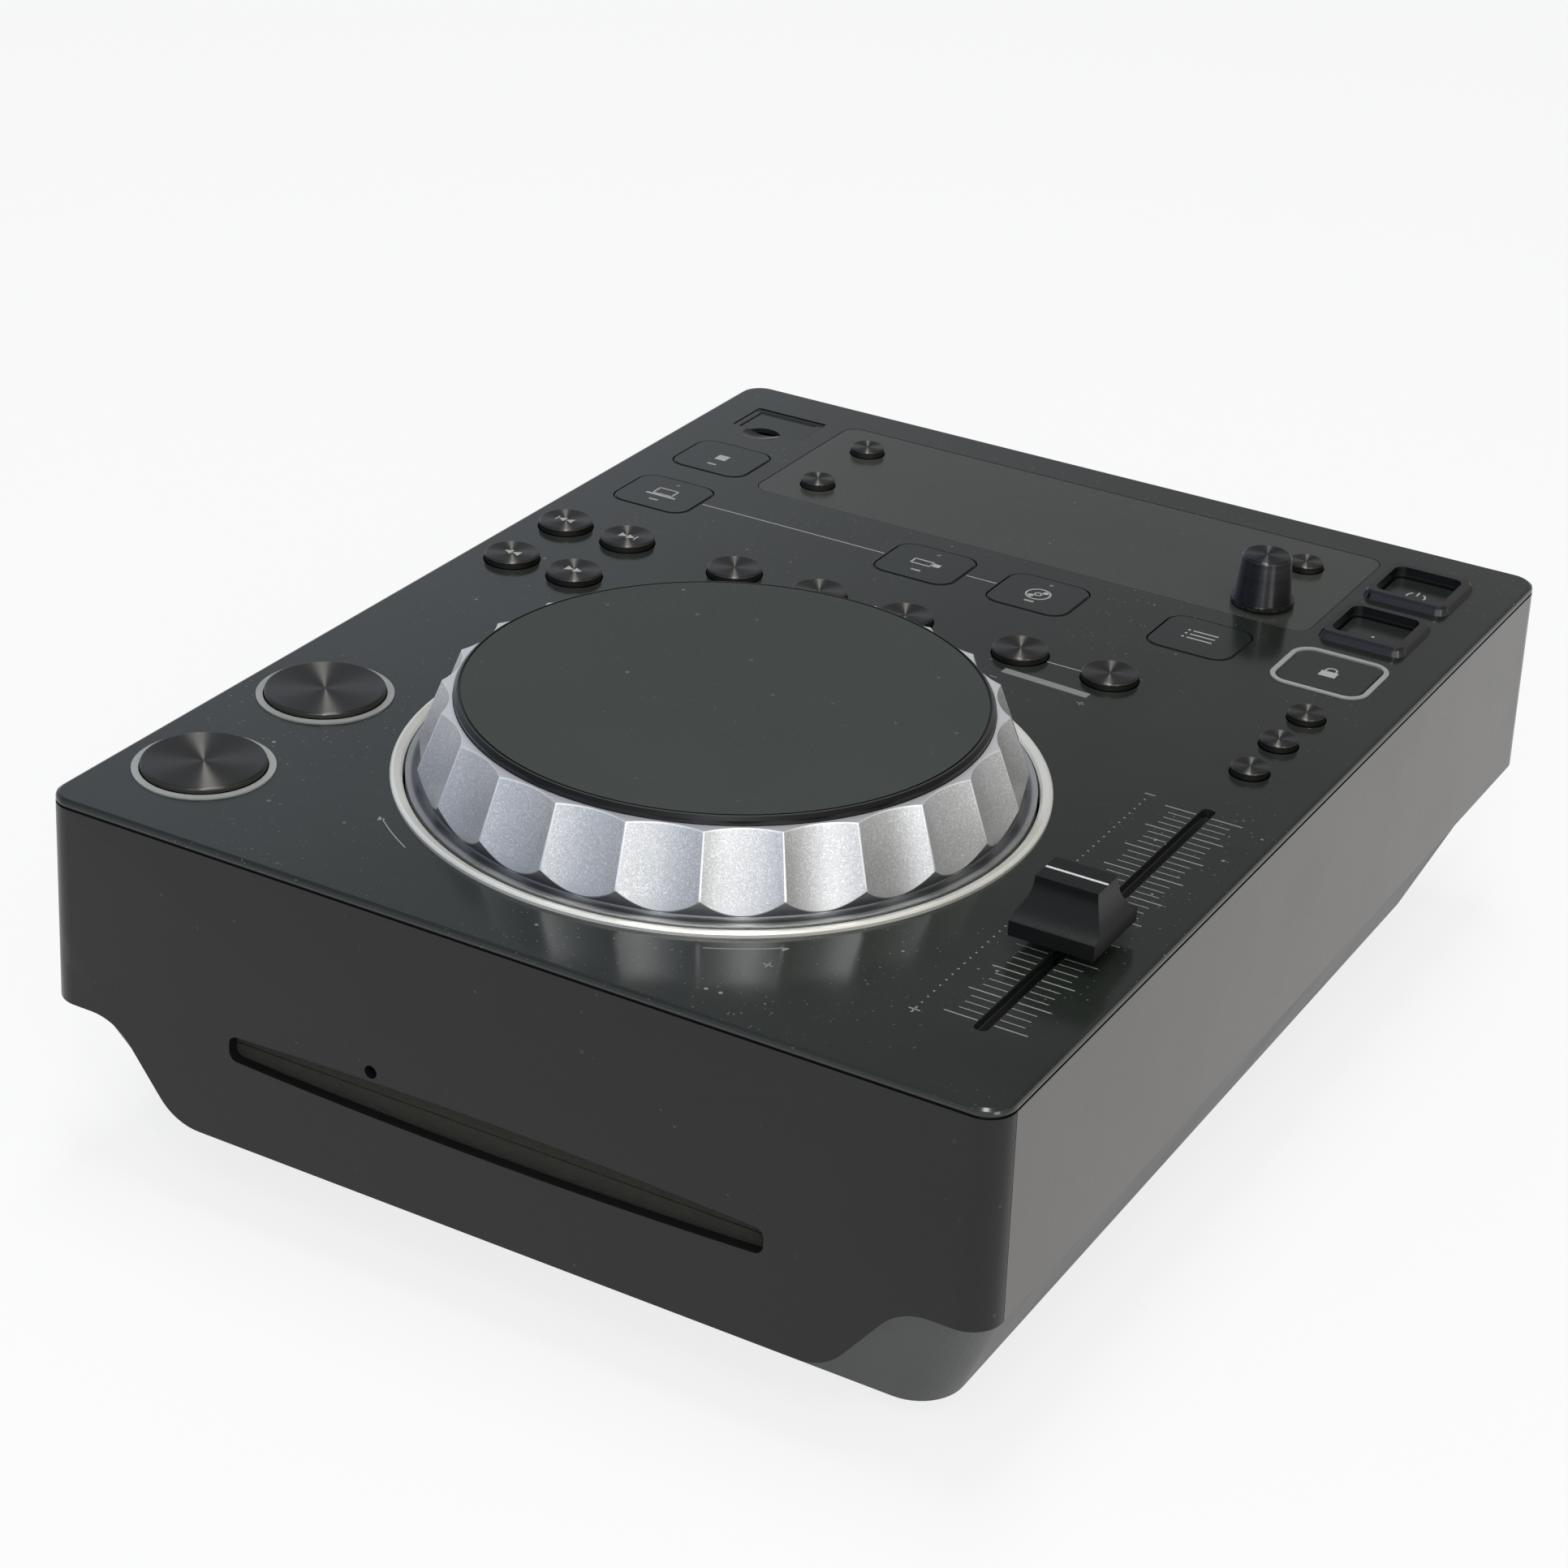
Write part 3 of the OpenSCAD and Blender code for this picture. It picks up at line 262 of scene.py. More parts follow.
class Effects:
    """The shared surface effects, each one node group that is built once."""

    _made: dict[str, bpy.types.NodeTree] = {}

    @classmethod
    def get(cls, name: str) -> bpy.types.NodeTree:
        """Return an effect's group, building it on first use.

        Args:
            name: the effect's name, which is that of a method below.

        Returns:
            The node group.
        """
        if name not in cls._made:
            cls._made[name] = getattr(cls, f"_{name}")()
        return cls._made[name]

    @staticmethod
    def _moulded_grain() -> bpy.types.NodeTree:
        """Build the fine pebbled grain of sprayed or etched plastic."""
        sheet, given, out = new_group("moulded grain", ("Height", "Tone"), Scale=2500.0)
        place, scale = given["Vector"], given["Scale"]
        fine = sheet.noise(place, scale, 3.0, 0.6)
        pebble = sheet.cells(place, sheet.times(scale, 0.9), feature="SMOOTH_F1")["Distance"]
        sheet.feed(out["Height"], sheet.math("ADD", sheet.times(fine, 0.6), sheet.times(pebble, 0.4)))
        sheet.feed(out["Tone"], sheet.window(sheet.noise(place, 26.0, 4.0, 0.55), 0.3, 0.7))
        return sheet.tree

    @staticmethod
    def _dust() -> bpy.types.NodeTree:
        """Build settled dust: scattered pale specks of mixed sizes, thicker in patches."""
        sheet, given, out = new_group("settled dust", ("Mask", "Haze"), Scale=330.0, Size=0.16, Cover=0.45)
        cells = sheet.cells(given["Vector"], given["Scale"])
        chance = sheet.add("SeparateColor", in_Color=cells["Color"]).outputs
        size = sheet.times(sheet.math("POWER", chance[0], 3.0), given["Size"])
        speck = sheet.math("LESS_THAN", cells["Distance"], size)
        kept = sheet.math("LESS_THAN", chance[1], given["Cover"])
        patch = sheet.window(sheet.noise(given["Vector"], 19.0, 3.0), 0.36, 0.66)
        sheet.feed(out["Mask"], sheet.times(sheet.times(speck, kept), patch))
        sheet.feed(out["Haze"], patch)
        return sheet.tree

    @staticmethod
    def _scuffs() -> bpy.types.NodeTree:
        """Build faint hairline scuffs in two directions."""
        sheet, given, out = new_group("hairline scuffs", ("Mask",), Scale=24.0)
        marks = []
        for turn, stretch in ((0.5, 26.0), (-0.9, 34.0)):
            place = sheet.add("Mapping", in_Vector=given["Vector"])
            place.inputs["Rotation"].default_value = (0.0, 0.0, turn)
            place.inputs["Scale"].default_value = (1.0, stretch, 1.0)
            marks.append(sheet.window(sheet.noise(place.outputs[0], given["Scale"]), 0.70, 0.78))
        sheet.feed(out["Mask"], sheet.math("MAXIMUM", *marks))
        return sheet.tree

    @staticmethod
    def _turned_rings() -> bpy.types.NodeTree:
        """Build lathe-turned rings about the Z axis of the vector given."""
        sheet, given, out = new_group("turned rings", ("Height", "Tone"), Rings=9000.0)
        line = sheet.add("TexNoise", noise_dimensions="1D", in_Detail=4.0, in_Roughness=0.7)
        sheet.feed(line.inputs["W"], sheet.vector("LENGTH", sheet.flat(given["Vector"])))
        sheet.feed(line.inputs["Scale"], given["Rings"])
        sheet.feed(out["Height"], line.outputs["Fac"])
        sheet.feed(out["Tone"], sheet.window(line.outputs["Fac"], 0.3, 0.7))
        return sheet.tree

    @staticmethod
    def _flakes() -> bpy.types.NodeTree:
        """Build the mottled glitter of a metallic coating: soft grains and a few bright flakes."""
        sheet, given, out = new_group("metal flakes", ("Grain", "Flake"), Scale=4200.0)
        place, scale = given["Vector"], given["Scale"]
        chance = sheet.add("SeparateColor", in_Color=sheet.cells(place, scale)["Color"]).outputs[0]
        sheet.feed(out["Grain"], sheet.window(sheet.noise(place, scale, 2.0, 0.7), 0.3, 0.7))
        sheet.feed(out["Flake"], sheet.window(chance, 0.82, 1.0))
        return sheet.tree

    @staticmethod
    def _rounded_area() -> bpy.types.NodeTree:
        """Build a mask that is 1 inside a rounded rectangle seen from above."""
        sheet, given, out = new_group("rounded area", ("Mask",), Centre=ZERO, Half=ZERO, Corner=0.003)
        local = sheet.vector("ABSOLUTE", sheet.vector("SUBTRACT", given["Vector"], given["Centre"]))
        inner = sheet.add("CombineXYZ", in_X=given["Corner"], in_Y=given["Corner"]).outputs[0]
        beyond = sheet.flat(sheet.vector("ADD", sheet.vector("SUBTRACT", local, given["Half"]), inner))
        length = sheet.vector("LENGTH", sheet.vector("MAXIMUM", beyond, ZERO))
        sheet.feed(out["Mask"], sheet.math("LESS_THAN", length, given["Corner"]))
        return sheet.tree

    @staticmethod
    def _brushed() -> bpy.types.NodeTree:
        """Build brushing along one axis, chosen by the stretch of the vector."""
        sheet, given, out = new_group("brushed lines", ("Height", "Tone"), Stretch=(40.0, 1.0, 1.0), Scale=160.0)
        place = sheet.vector("MULTIPLY", given["Vector"], given["Stretch"])
        line = sheet.noise(place, given["Scale"], 5.0, 0.65)
        sheet.feed(out["Height"], line)
        sheet.feed(out["Tone"], sheet.window(line, 0.3, 0.7))
        return sheet.tree


# ---------------------------------------------------------------- finishes


@dataclass(frozen=True)
class Finish:
    """A procedural finish: one base surface with optional grain, dust, grease and scuffs."""

    name: str
    colour: Colour
    roughness: float = 0.5
    metallic: float = 0.0
    specular: float = 0.5
    grain: float = 2600.0
    grain_depth: float = 0.00002
    tone: float = 0.12
    dust: float = 0.0
    fine_dust: float = 0.0
    haze: float = 0.0
    scuffs: float = 0.0
    anisotropy: float = 0.0
    tint: Colour = (1.0, 1.0, 1.0)
    dust_colour: Colour = (0.34, 0.34, 0.31)
    bump: float = 1.0

    def build(self) -> bpy.types.Material:
        """Build the whole material."""
        material = bpy.data.materials.new(self.name)
        material.use_nodes = True
        sheet = Sheet(material.node_tree)
        shader = next(n for n in material.node_tree.nodes if n.type == "BSDF_PRINCIPLED").inputs
        shader["Metallic"].default_value = self.metallic
        shader["Specular IOR Level"].default_value = self.specular
        shader["Anisotropic"].default_value = self.anisotropy
        shader["Specular Tint"].default_value = (*self.tint, 1.0)
        place = sheet.add("TexCoord").outputs["Object"]
        colour, rough, height, depth = self.layers(sheet, place)
        sheet.feed(shader["Base Color"], colour)
        sheet.feed(shader["Roughness"], rough)
        bump = sheet.add("Bump", in_Strength=self.bump, in_Distance=depth, in_Height=height)
        sheet.feed(shader["Normal"], bump.outputs["Normal"])
        sheet.feed(shader["Tangent"], self.tangent(sheet, place))
        return material

    def layers(self, sheet: Sheet, place: Any) -> Layers:
        """Build the finish's layers.

        Args:
            sheet: the material's sheet.
            place: the coordinates socket.

        Returns:
            What feeds colour, roughness and height, and the height's depth in metres.
        """
        return (*self.surface(sheet, place), self.grain_depth)

    def tangent(self, sheet: Sheet, place: Any) -> Any:
        """Return the direction of the surface's highlights, or None."""
        return None

    def use(self, sheet: Sheet, effect: str, place: Any, **values: Any) -> Any:
        """Place a shared effect in the material.

        Args:
            sheet: the material's sheet.
            effect: the effect's name.
            place: what feeds its vector input.
            values: what feeds its further inputs.

        Returns:
            The effect's output sockets.
        """
        node = sheet.add("Group", node_tree=Effects.get(effect))
        for name, value in {"Vector": place, **values}.items():
            sheet.feed(node.inputs[name], value)
        return node.outputs

    def surface(self, sheet: Sheet, place: Any) -> tuple[Any, Any, Any]:
        """Build the base surface.

        Args:
            sheet: the material's sheet.
            place: the coordinates socket.

        Returns:
            Colour, roughness and height sockets.
        """
        grain = self.use(sheet, "moulded_grain", place, Scale=self.grain)
        ends = [scaled(self.colour, 1.0 + side * self.tone) for side in (-1.0, 1.0)]
        peaks = sheet.times(sheet.window(grain["Height"], 0.45, 0.75), 0.25)
        colour = sheet.mix(peaks, sheet.mix(grain["Tone"], *ends), scaled(self.colour, 1.5))
        rough = sheet.blend(grain["Tone"], self.roughness * 0.93, self.roughness * 1.08)
        if self.scuffs > 0.0:
            amount = sheet.times(self.use(sheet, "scuffs", place)["Mask"], self.scuffs)
            colour = sheet.mix(amount, colour, tuple(c * 2.6 + 0.02 for c in self.colour))
            rough = sheet.blend(amount, rough, self.roughness + 0.2)
        if self.dust > 0.0:
            dust = self.use(sheet, "dust", place)
            colour, rough = self.sprinkle(sheet, dust["Mask"], self.dust, colour, rough)
            grease = sheet.times(dust["Haze"], self.haze)
            colour = sheet.mix(sheet.times(grease, 0.05), colour, self.dust_colour)
            rough = sheet.blend(grease, rough, 0.55)
        if self.fine_dust > 0.0:
            fine = self.use(sheet, "dust", place, Scale=1050.0, Size=0.26, Cover=0.8)["Mask"]
            colour, rough = self.sprinkle(sheet, fine, self.fine_dust, colour, rough)
        return colour, rough, grain["Height"]

    def sprinkle(self, sheet: Sheet, mask: Any, share: float, colour: Any, rough: Any) -> tuple[Any, Any]:
        """Lay dust over a colour and a roughness.

        Args:
            sheet: the material's sheet.
            mask: where the dust lies.
            share: how much of the surface shows as dust there.
            colour: the colour socket.
            rough: the roughness socket.

        Returns:
            The new colour and roughness sockets.
        """
        amount = sheet.math("MULTIPLY", mask, share, clamp=True)
        return sheet.mix(amount, colour, self.dust_colour), sheet.blend(amount, rough, 0.9)


@dataclass(frozen=True)
class PlateFinish(Finish):
    """The semi-gloss plate, with the two glossy key frames that stand up from it."""

    frames: tuple[Point2, ...] = ((87.3, 91.0), (87.3, 118.6))
    half: tuple[float, float, float] = (0.0109, 0.0109, 1.0)
    corner: float = 0.0032
    black: Colour = (0.006, 0.006, 0.007)

    def layers(self, sheet: Sheet, place: Any) -> Layers:
        """Build the plate, and the gloss of its two key frames; see Finish.layers."""
        colour, rough, height = self.surface(sheet, place)
        size = {"Half": self.half, "Corner": self.corner}
        areas = [
            self.use(sheet, "rounded_area", place, Centre=at_plate(*spot, 0.0), **size)["Mask"]
            for spot in self.frames
        ]
        level = sheet.split(place)["Z"]
        above = sheet.math("GREATER_THAN", level, (PLATE_TOP + 0.04) * MM)
        below = sheet.math("LESS_THAN", level, (PLATE_TOP - 0.25) * MM)
        gloss = sheet.times(sheet.math("MAXIMUM", *areas), sheet.math("MAXIMUM", above, below))
        colour = sheet.mix(gloss, colour, self.black)
        return colour, sheet.blend(gloss, rough, 0.16), sheet.blend(gloss, height, 0.5), self.grain_depth


@dataclass(frozen=True)
class TurnedFinish(Finish):
    """Lathe-turned or spun surface about an upright axis."""

    centre: Point2 = (0.0, 0.0)
    rings: float = 9000.0
    ring_depth: float = 0.000004
    hem: float | None = None
    bump: float = 0.6

    def middle(self, sheet: Sheet, place: Any) -> Any:
        """Return the place measured from the axis."""
        shift = sheet.add("Mapping", vector_type="POINT", in_Vector=place)
        shift.inputs["Location"].default_value = -at_plate(*self.centre, -PLATE_TOP)
        return shift.outputs["Vector"]

    def layers(self, sheet: Sheet, place: Any) -> Layers:
        """Build the turned surface, dusty below the hem where it has one; see Finish.layers."""
        turned = self.use(sheet, "turned_rings", self.middle(sheet, place), Rings=self.rings)
        colour, rough, _ = self.surface(sheet, place)
        colour = sheet.mix(sheet.times(turned["Tone"], 0.35), colour, scaled(self.colour, 1.9))
        if self.hem is not None:
            foot = PLATE_TOP + self.hem
            low = sheet.rest(sheet.band(sheet.split(place)["Z"], foot, foot + 1.2))
            worn = self.use(sheet, "moulded_grain", place, Scale=900.0)["Height"]
            low = sheet.times(low, sheet.window(worn, 0.35, 0.6))
            colour = sheet.mix(sheet.times(low, 0.75), colour, self.dust_colour)
            rough = sheet.blend(low, rough, 0.8)
        return colour, rough, turned["Height"], self.ring_depth

    def tangent(self, sheet: Sheet, place: Any) -> Any:
        """Return the direction away from the axis, across the grooves."""
        world = sheet.add("VectorTransform", vector_type="VECTOR", convert_from="OBJECT", convert_to="WORLD")
        sheet.feed(world.inputs[0], sheet.flat(self.middle(sheet, place)))
        return world.outputs[0]


@dataclass(frozen=True)
class WheelFinish(Finish):
    """Satin metallic coating with fine glitter, painted highlights along the scallops' ridges and crest, and
    painted shade at the foot and below each scallop.

    Lengths are in millimetres above the plate or from the wheel's axis.
    """

    scallops: int = 24
    turn: float = -3.4
    crest: float = 17.5
    ridge_radius: float = 0.0605
    # Colour of the painted highlights along the ridges and crest; the coating's brightest flakes also take this
    # colour.
    edge: Colour = (0.92, 0.93, 0.94)
    ridge_highlight_width: float = 0.30
    ridge_start: Point2 = (4.2, 6.0)
    # Colour of the painted shade in the cove at the wheel's foot, and the heights over which it fades out.
    foot: Colour = (0.50, 0.51, 0.51)
    foot_shade_band: Point2 = (0.8, 4.6)
    # Colour of the painted shade below each scallop's U-shaped lower end, and the curve, blur and reach of that
    # shade.
    undercut_shade: Colour = (0.13, 0.135, 0.14)
    undercut_base: float = 0.8
    undercut_rise: float = 3.8
    undercut_blur: Point2 = (-0.1, 0.3)
    undercut_reach: Point2 = (64.2, 65.0)

    def layers(self, sheet: Sheet, place: Any) -> Layers:
        """Build the coating, the painted highlights along its ridges and crest, and the painted shade at its
        foot and below each scallop; see Finish.layers.
        """
        colour, rough, height = self.surface(sheet, place)
        flakes = self.use(sheet, "flakes", place, Scale=3600.0)
        colour = sheet.mix(flakes["Grain"], scaled(self.colour, 0.80), scaled(self.colour, 1.16))
        # Bright flakes of the glitter, in the colour of the painted highlights.
        colour = sheet.mix(sheet.times(flakes["Flake"], 0.55), colour, self.edge)
        local = sheet.vector("SUBTRACT", place, at_plate(*WHEEL_CENTRE, 0.0))
        x, y, z = sheet.split(local)
        pitch = 2.0 * math.pi / self.scallops
        heading = sheet.math("ARCTAN2", y, x)
        step = sheet.math("MULTIPLY_ADD", heading, 1.0 / pitch, 0.5 + 40.0 - math.radians(self.turn) / pitch)
        share = sheet.math("ABSOLUTE", sheet.math("SUBTRACT", sheet.math("FRACT", step), 0.5))
        inward = sheet.rest(sheet.times(share, 2.0))
        off = sheet.times(share, pitch * self.ridge_radius)
        # Painted highlight along the lines between neighbouring scallops, above the ridge_start heights.
        ridge_highlight = sheet.rest(sheet.band(off, self.ridge_highlight_width * 0.3, self.ridge_highlight_width))
        ridge_highlight = sheet.times(ridge_highlight, sheet.band(z, *self.ridge_start))
        # Painted highlight also along the crest at the wheel's top.
        edge = sheet.math("MAXIMUM", ridge_highlight, sheet.band(z, self.crest - 0.45, self.crest - 0.05))
        # Painted shade at the foot of the wheel, fading out upwards.
        foot = sheet.rest(sheet.band(z, *self.foot_shade_band))
        colour = sheet.mix(sheet.times(foot, 0.8), colour, self.foot)
        # Painted shade below each scallop: under a U-shaped line that rises towards the lines between scallops,
        # inside the reach radius.
        curve = sheet.math("POWER", inward, 2.0)
        line = sheet.math("MULTIPLY_ADD", curve, self.undercut_rise * MM, self.undercut_base * MM)
        under = sheet.rest(sheet.band(sheet.math("SUBTRACT", z, line), *self.undercut_blur))
        radius = sheet.vector("LENGTH", sheet.flat(local))
        under = sheet.times(under, sheet.rest(sheet.band(radius, *self.undercut_reach)))
        colour = sheet.mix(sheet.times(under, 0.85), colour, self.undercut_shade)
        # Lay the painted highlights over the colour.
        colour = sheet.mix(sheet.times(edge, 0.9), colour, self.edge)
        rough = sheet.blend(edge, sheet.blend(foot, rough, self.roughness * 0.95), 0.5)
        return colour, rough, sheet.math("ADD", height, flakes["Grain"]), self.grain_depth


@dataclass(frozen=True)
class LayeredFinish(Finish):
    """A face finish above a height and a second colour and gloss on the side below it."""

    level: float = 19.2
    # Below the level the disc is painted near black: on its side this is painted shade of the narrow gap around
    # the disc, and on the chamfer it is the disc's dark glossy edge.
    side: Colour = (0.004, 0.004, 0.004)
    side_roughness: float = 0.3

    def layers(self, sheet: Sheet, place: Any) -> Layers:
        """Build the face and side; see Finish.layers."""
        colour, rough, height = self.surface(sheet, place)
        level = PLATE_TOP + self.level
        top = sheet.band(sheet.split(place)["Z"], level - 0.06, level + 0.06)
        rough = sheet.blend(top, self.side_roughness, rough)
        return sheet.mix(top, self.side, colour), rough, height, self.grain_depth


@dataclass(frozen=True)
class BrushedFinish(Finish):
    """Metal with rolling lines along the X axis."""

    def layers(self, sheet: Sheet, place: Any) -> Layers:
        """Build the brushed metal; see Finish.layers."""
        lines = self.use(sheet, "brushed", place, Stretch=(1.0, 30.0, 30.0), Scale=160.0)
        colour = self.surface(sheet, place)[0]
        colour = sheet.mix(sheet.times(lines["Tone"], 0.3), colour, scaled(self.colour, 0.72))
        rough = sheet.blend(lines["Tone"], self.roughness * 0.85, self.roughness * 1.2)
        return colour, rough, lines["Height"], 0.000008


@dataclass(frozen=True)
class BoardFinish(Finish):
    """Printed circuit board: solder mask with tracks, pads, and parts above the board's face."""

    face: float = -36.0
    track: Colour = (0.03, 0.16, 0.06)
    parts: Colour = (0.012, 0.012, 0.013)
    pad: Colour = (0.45, 0.42, 0.33)

    def layers(self, sheet: Sheet, place: Any) -> Layers:
        """Build the board; see Finish.layers."""
        colour, _, height = self.surface(sheet, place)
        wave = sheet.cells(place, 190.0, feature="F1", distance="CHEBYCHEV")["Distance"]
        lines = sheet.math("LESS_THAN", sheet.math("FRACT", sheet.times(wave, 7.0)), 0.4)
        colour = sheet.mix(sheet.times(lines, 0.75), colour, self.track)
        dots = sheet.math("LESS_THAN", sheet.cells(place, 420.0)["Distance"], 0.17)
        colour = sheet.mix(sheet.times(dots, 0.6), colour, self.pad)
        above = sheet.math("GREATER_THAN", sheet.split(place)["Z"], (PLATE_TOP + self.face + 0.05) * MM)
        colour = sheet.mix(above, colour, self.parts)
        return colour, sheet.blend(above, 0.35, 0.55), sheet.math("ADD", height, lines), 0.00003


@dataclass(frozen=True)
class FeltFinish(Finish):
    """Pressed felt with loose fibres."""

    def layers(self, sheet: Sheet, place: Any) -> Layers:
        """Build the felt; see Finish.layers."""
        fibre = self.use(sheet, "brushed", place, Stretch=(1.0, 4.0, 7.0), Scale=900.0)
        cloud = sheet.noise(place, 300.0, 4.0)
        colour = sheet.mix(fibre["Tone"], scaled(self.colour, 0.5), self.colour)
        colour = sheet.mix(sheet.times(cloud, 0.4), colour, scaled(self.colour, 1.8))
        return colour, 0.95, sheet.math("ADD", fibre["Height"], cloud), 0.0002


@dataclass(frozen=True)
class InkFinish(Finish):
    """Screen-printed ink, thin and slightly broken up."""

    def layers(self, sheet: Sheet, place: Any) -> Layers:
        """Build the ink; see Finish.layers."""
        speck = sheet.noise(place, 5200.0)
        worn = sheet.window(speck, 0.35, 0.6)
        colour = sheet.mix(worn, scaled(self.colour, 0.72), self.colour)
        return colour, sheet.blend(worn, 0.65, 0.5), speck, 0.000006


class Palette:
    """The player's finishes, each made once."""

    PLATE = PlateFinish(
        "plate charcoal", (0.0140, 0.0170, 0.0138), 0.155,
        grain=3000.0, grain_depth=0.000005, tone=0.1, dust=0.6, fine_dust=0.3, haze=0.03, scuffs=0.12,
    )
    PANEL = Finish(
        "front panel charcoal", (0.0070, 0.0070, 0.0067), 0.3,
        specular=0.34, grain=2300.0, grain_depth=0.00003, tone=0.08, dust=0.12,
    )
    # The sides are painted a lighter, warmer grey than the front panel of the same charcoal plastic: a painted
    # reflection of the bright room at the right.
    SIDES_WITH_PAINTED_REFLECTION = Finish(
        "side charcoal with painted reflection", (0.030, 0.0275, 0.0255), 0.28,
        specular=0.85, tint=(1.0, 0.94, 0.89), grain=2300.0, grain_depth=0.00003, tone=0.08,
    )
    TUB = Finish("lower case grey", (0.029, 0.031, 0.031), 0.45, specular=0.4, grain=2000.0, tone=0.1)
    WINDOW = Finish(
        "smoked window", (0.0340, 0.0370, 0.0305), 0.19,
        grain=1500.0, grain_depth=0.000003, tone=0.05, dust=0.4, fine_dust=0.16, haze=0.06, scuffs=0.12,
    )
    PANEL_KEY = Finish(
        "flush key charcoal", (0.0150, 0.0182, 0.0155), 0.2,
        specular=0.45, grain=3000.0, grain_depth=0.000006, dust=0.3,
    )
    # The disc's side is painted near black as the shade of the gap around it; its chamfer is its dark glossy
    # edge.
    DISC = LayeredFinish(
        "wheel disc", (0.0365, 0.0430, 0.0365), 0.6,
        specular=0.3, grain=3800.0, tone=0.06, dust=0.3, fine_dust=0.12,
    )
    SILVER = WheelFinish(
        "satin silver", (0.60, 0.605, 0.61), 0.45, metallic=1.0, grain=5200.0, grain_depth=0.000012, tone=0.05,
    )
    TRIM = Finish(
        "bright trim", (0.86, 0.85, 0.78), 0.42, metallic=0.65, grain=5200.0, grain_depth=0.000006, tone=0.04,
    )
    LENS = Finish("pale lens", (0.30, 0.31, 0.29), 0.3, grain=900.0, grain_depth=0.000005, tone=0.08)
    RUBBER = Finish("rubber", (0.012, 0.012, 0.012), 0.85, grain=1400.0, grain_depth=0.00005, dust=0.3)
    STEEL = BrushedFinish("plated steel", (0.45, 0.45, 0.46), 0.34, metallic=1.0)
    CHROME = Finish("socket plating", (0.62, 0.61, 0.58), 0.2, metallic=1.0, grain=1500.0, grain_depth=0.000004)
    BLACK = Finish("black moulding", (0.012, 0.012, 0.012), 0.55, grain=1800.0)
    CAP = Finish(
        "slider cap black", (0.0036, 0.0037, 0.0035), 0.4, specular=0.28, grain_depth=0.00003, dust=0.5,
    )
    FELT = FeltFinish("slot felt", (0.019, 0.018, 0.012))
    LCD = Finish("display glass", (0.02, 0.028, 0.024), 0.2, grain=900.0, grain_depth=0.000003)
    KEY_BOARD = BoardFinish("key board", (0.012, 0.08, 0.03), face=-9.4)
    MAIN_BOARD = BoardFinish("main board", (0.012, 0.08, 0.03))
    POWER_BOARD = BoardFinish("power board", (0.20, 0.13, 0.05), track=(0.26, 0.18, 0.08))

    _made: dict[str, bpy.types.Material] = {}

    @classmethod
    def get(cls, finish: Finish) -> bpy.types.Material:
        """Return a finish's material, building it once."""
        if finish.name not in cls._made:
            cls._made[finish.name] = finish.build()
        return cls._made[finish.name]

    @classmethod
    def ink(cls, ink: Ink) -> bpy.types.Material:
        """Return the material of a printed colour."""
        return cls.get(InkFinish(f"ink {ink.name.lower()}", ink.value))


# ---------------------------------------------------------------- marks and small parts


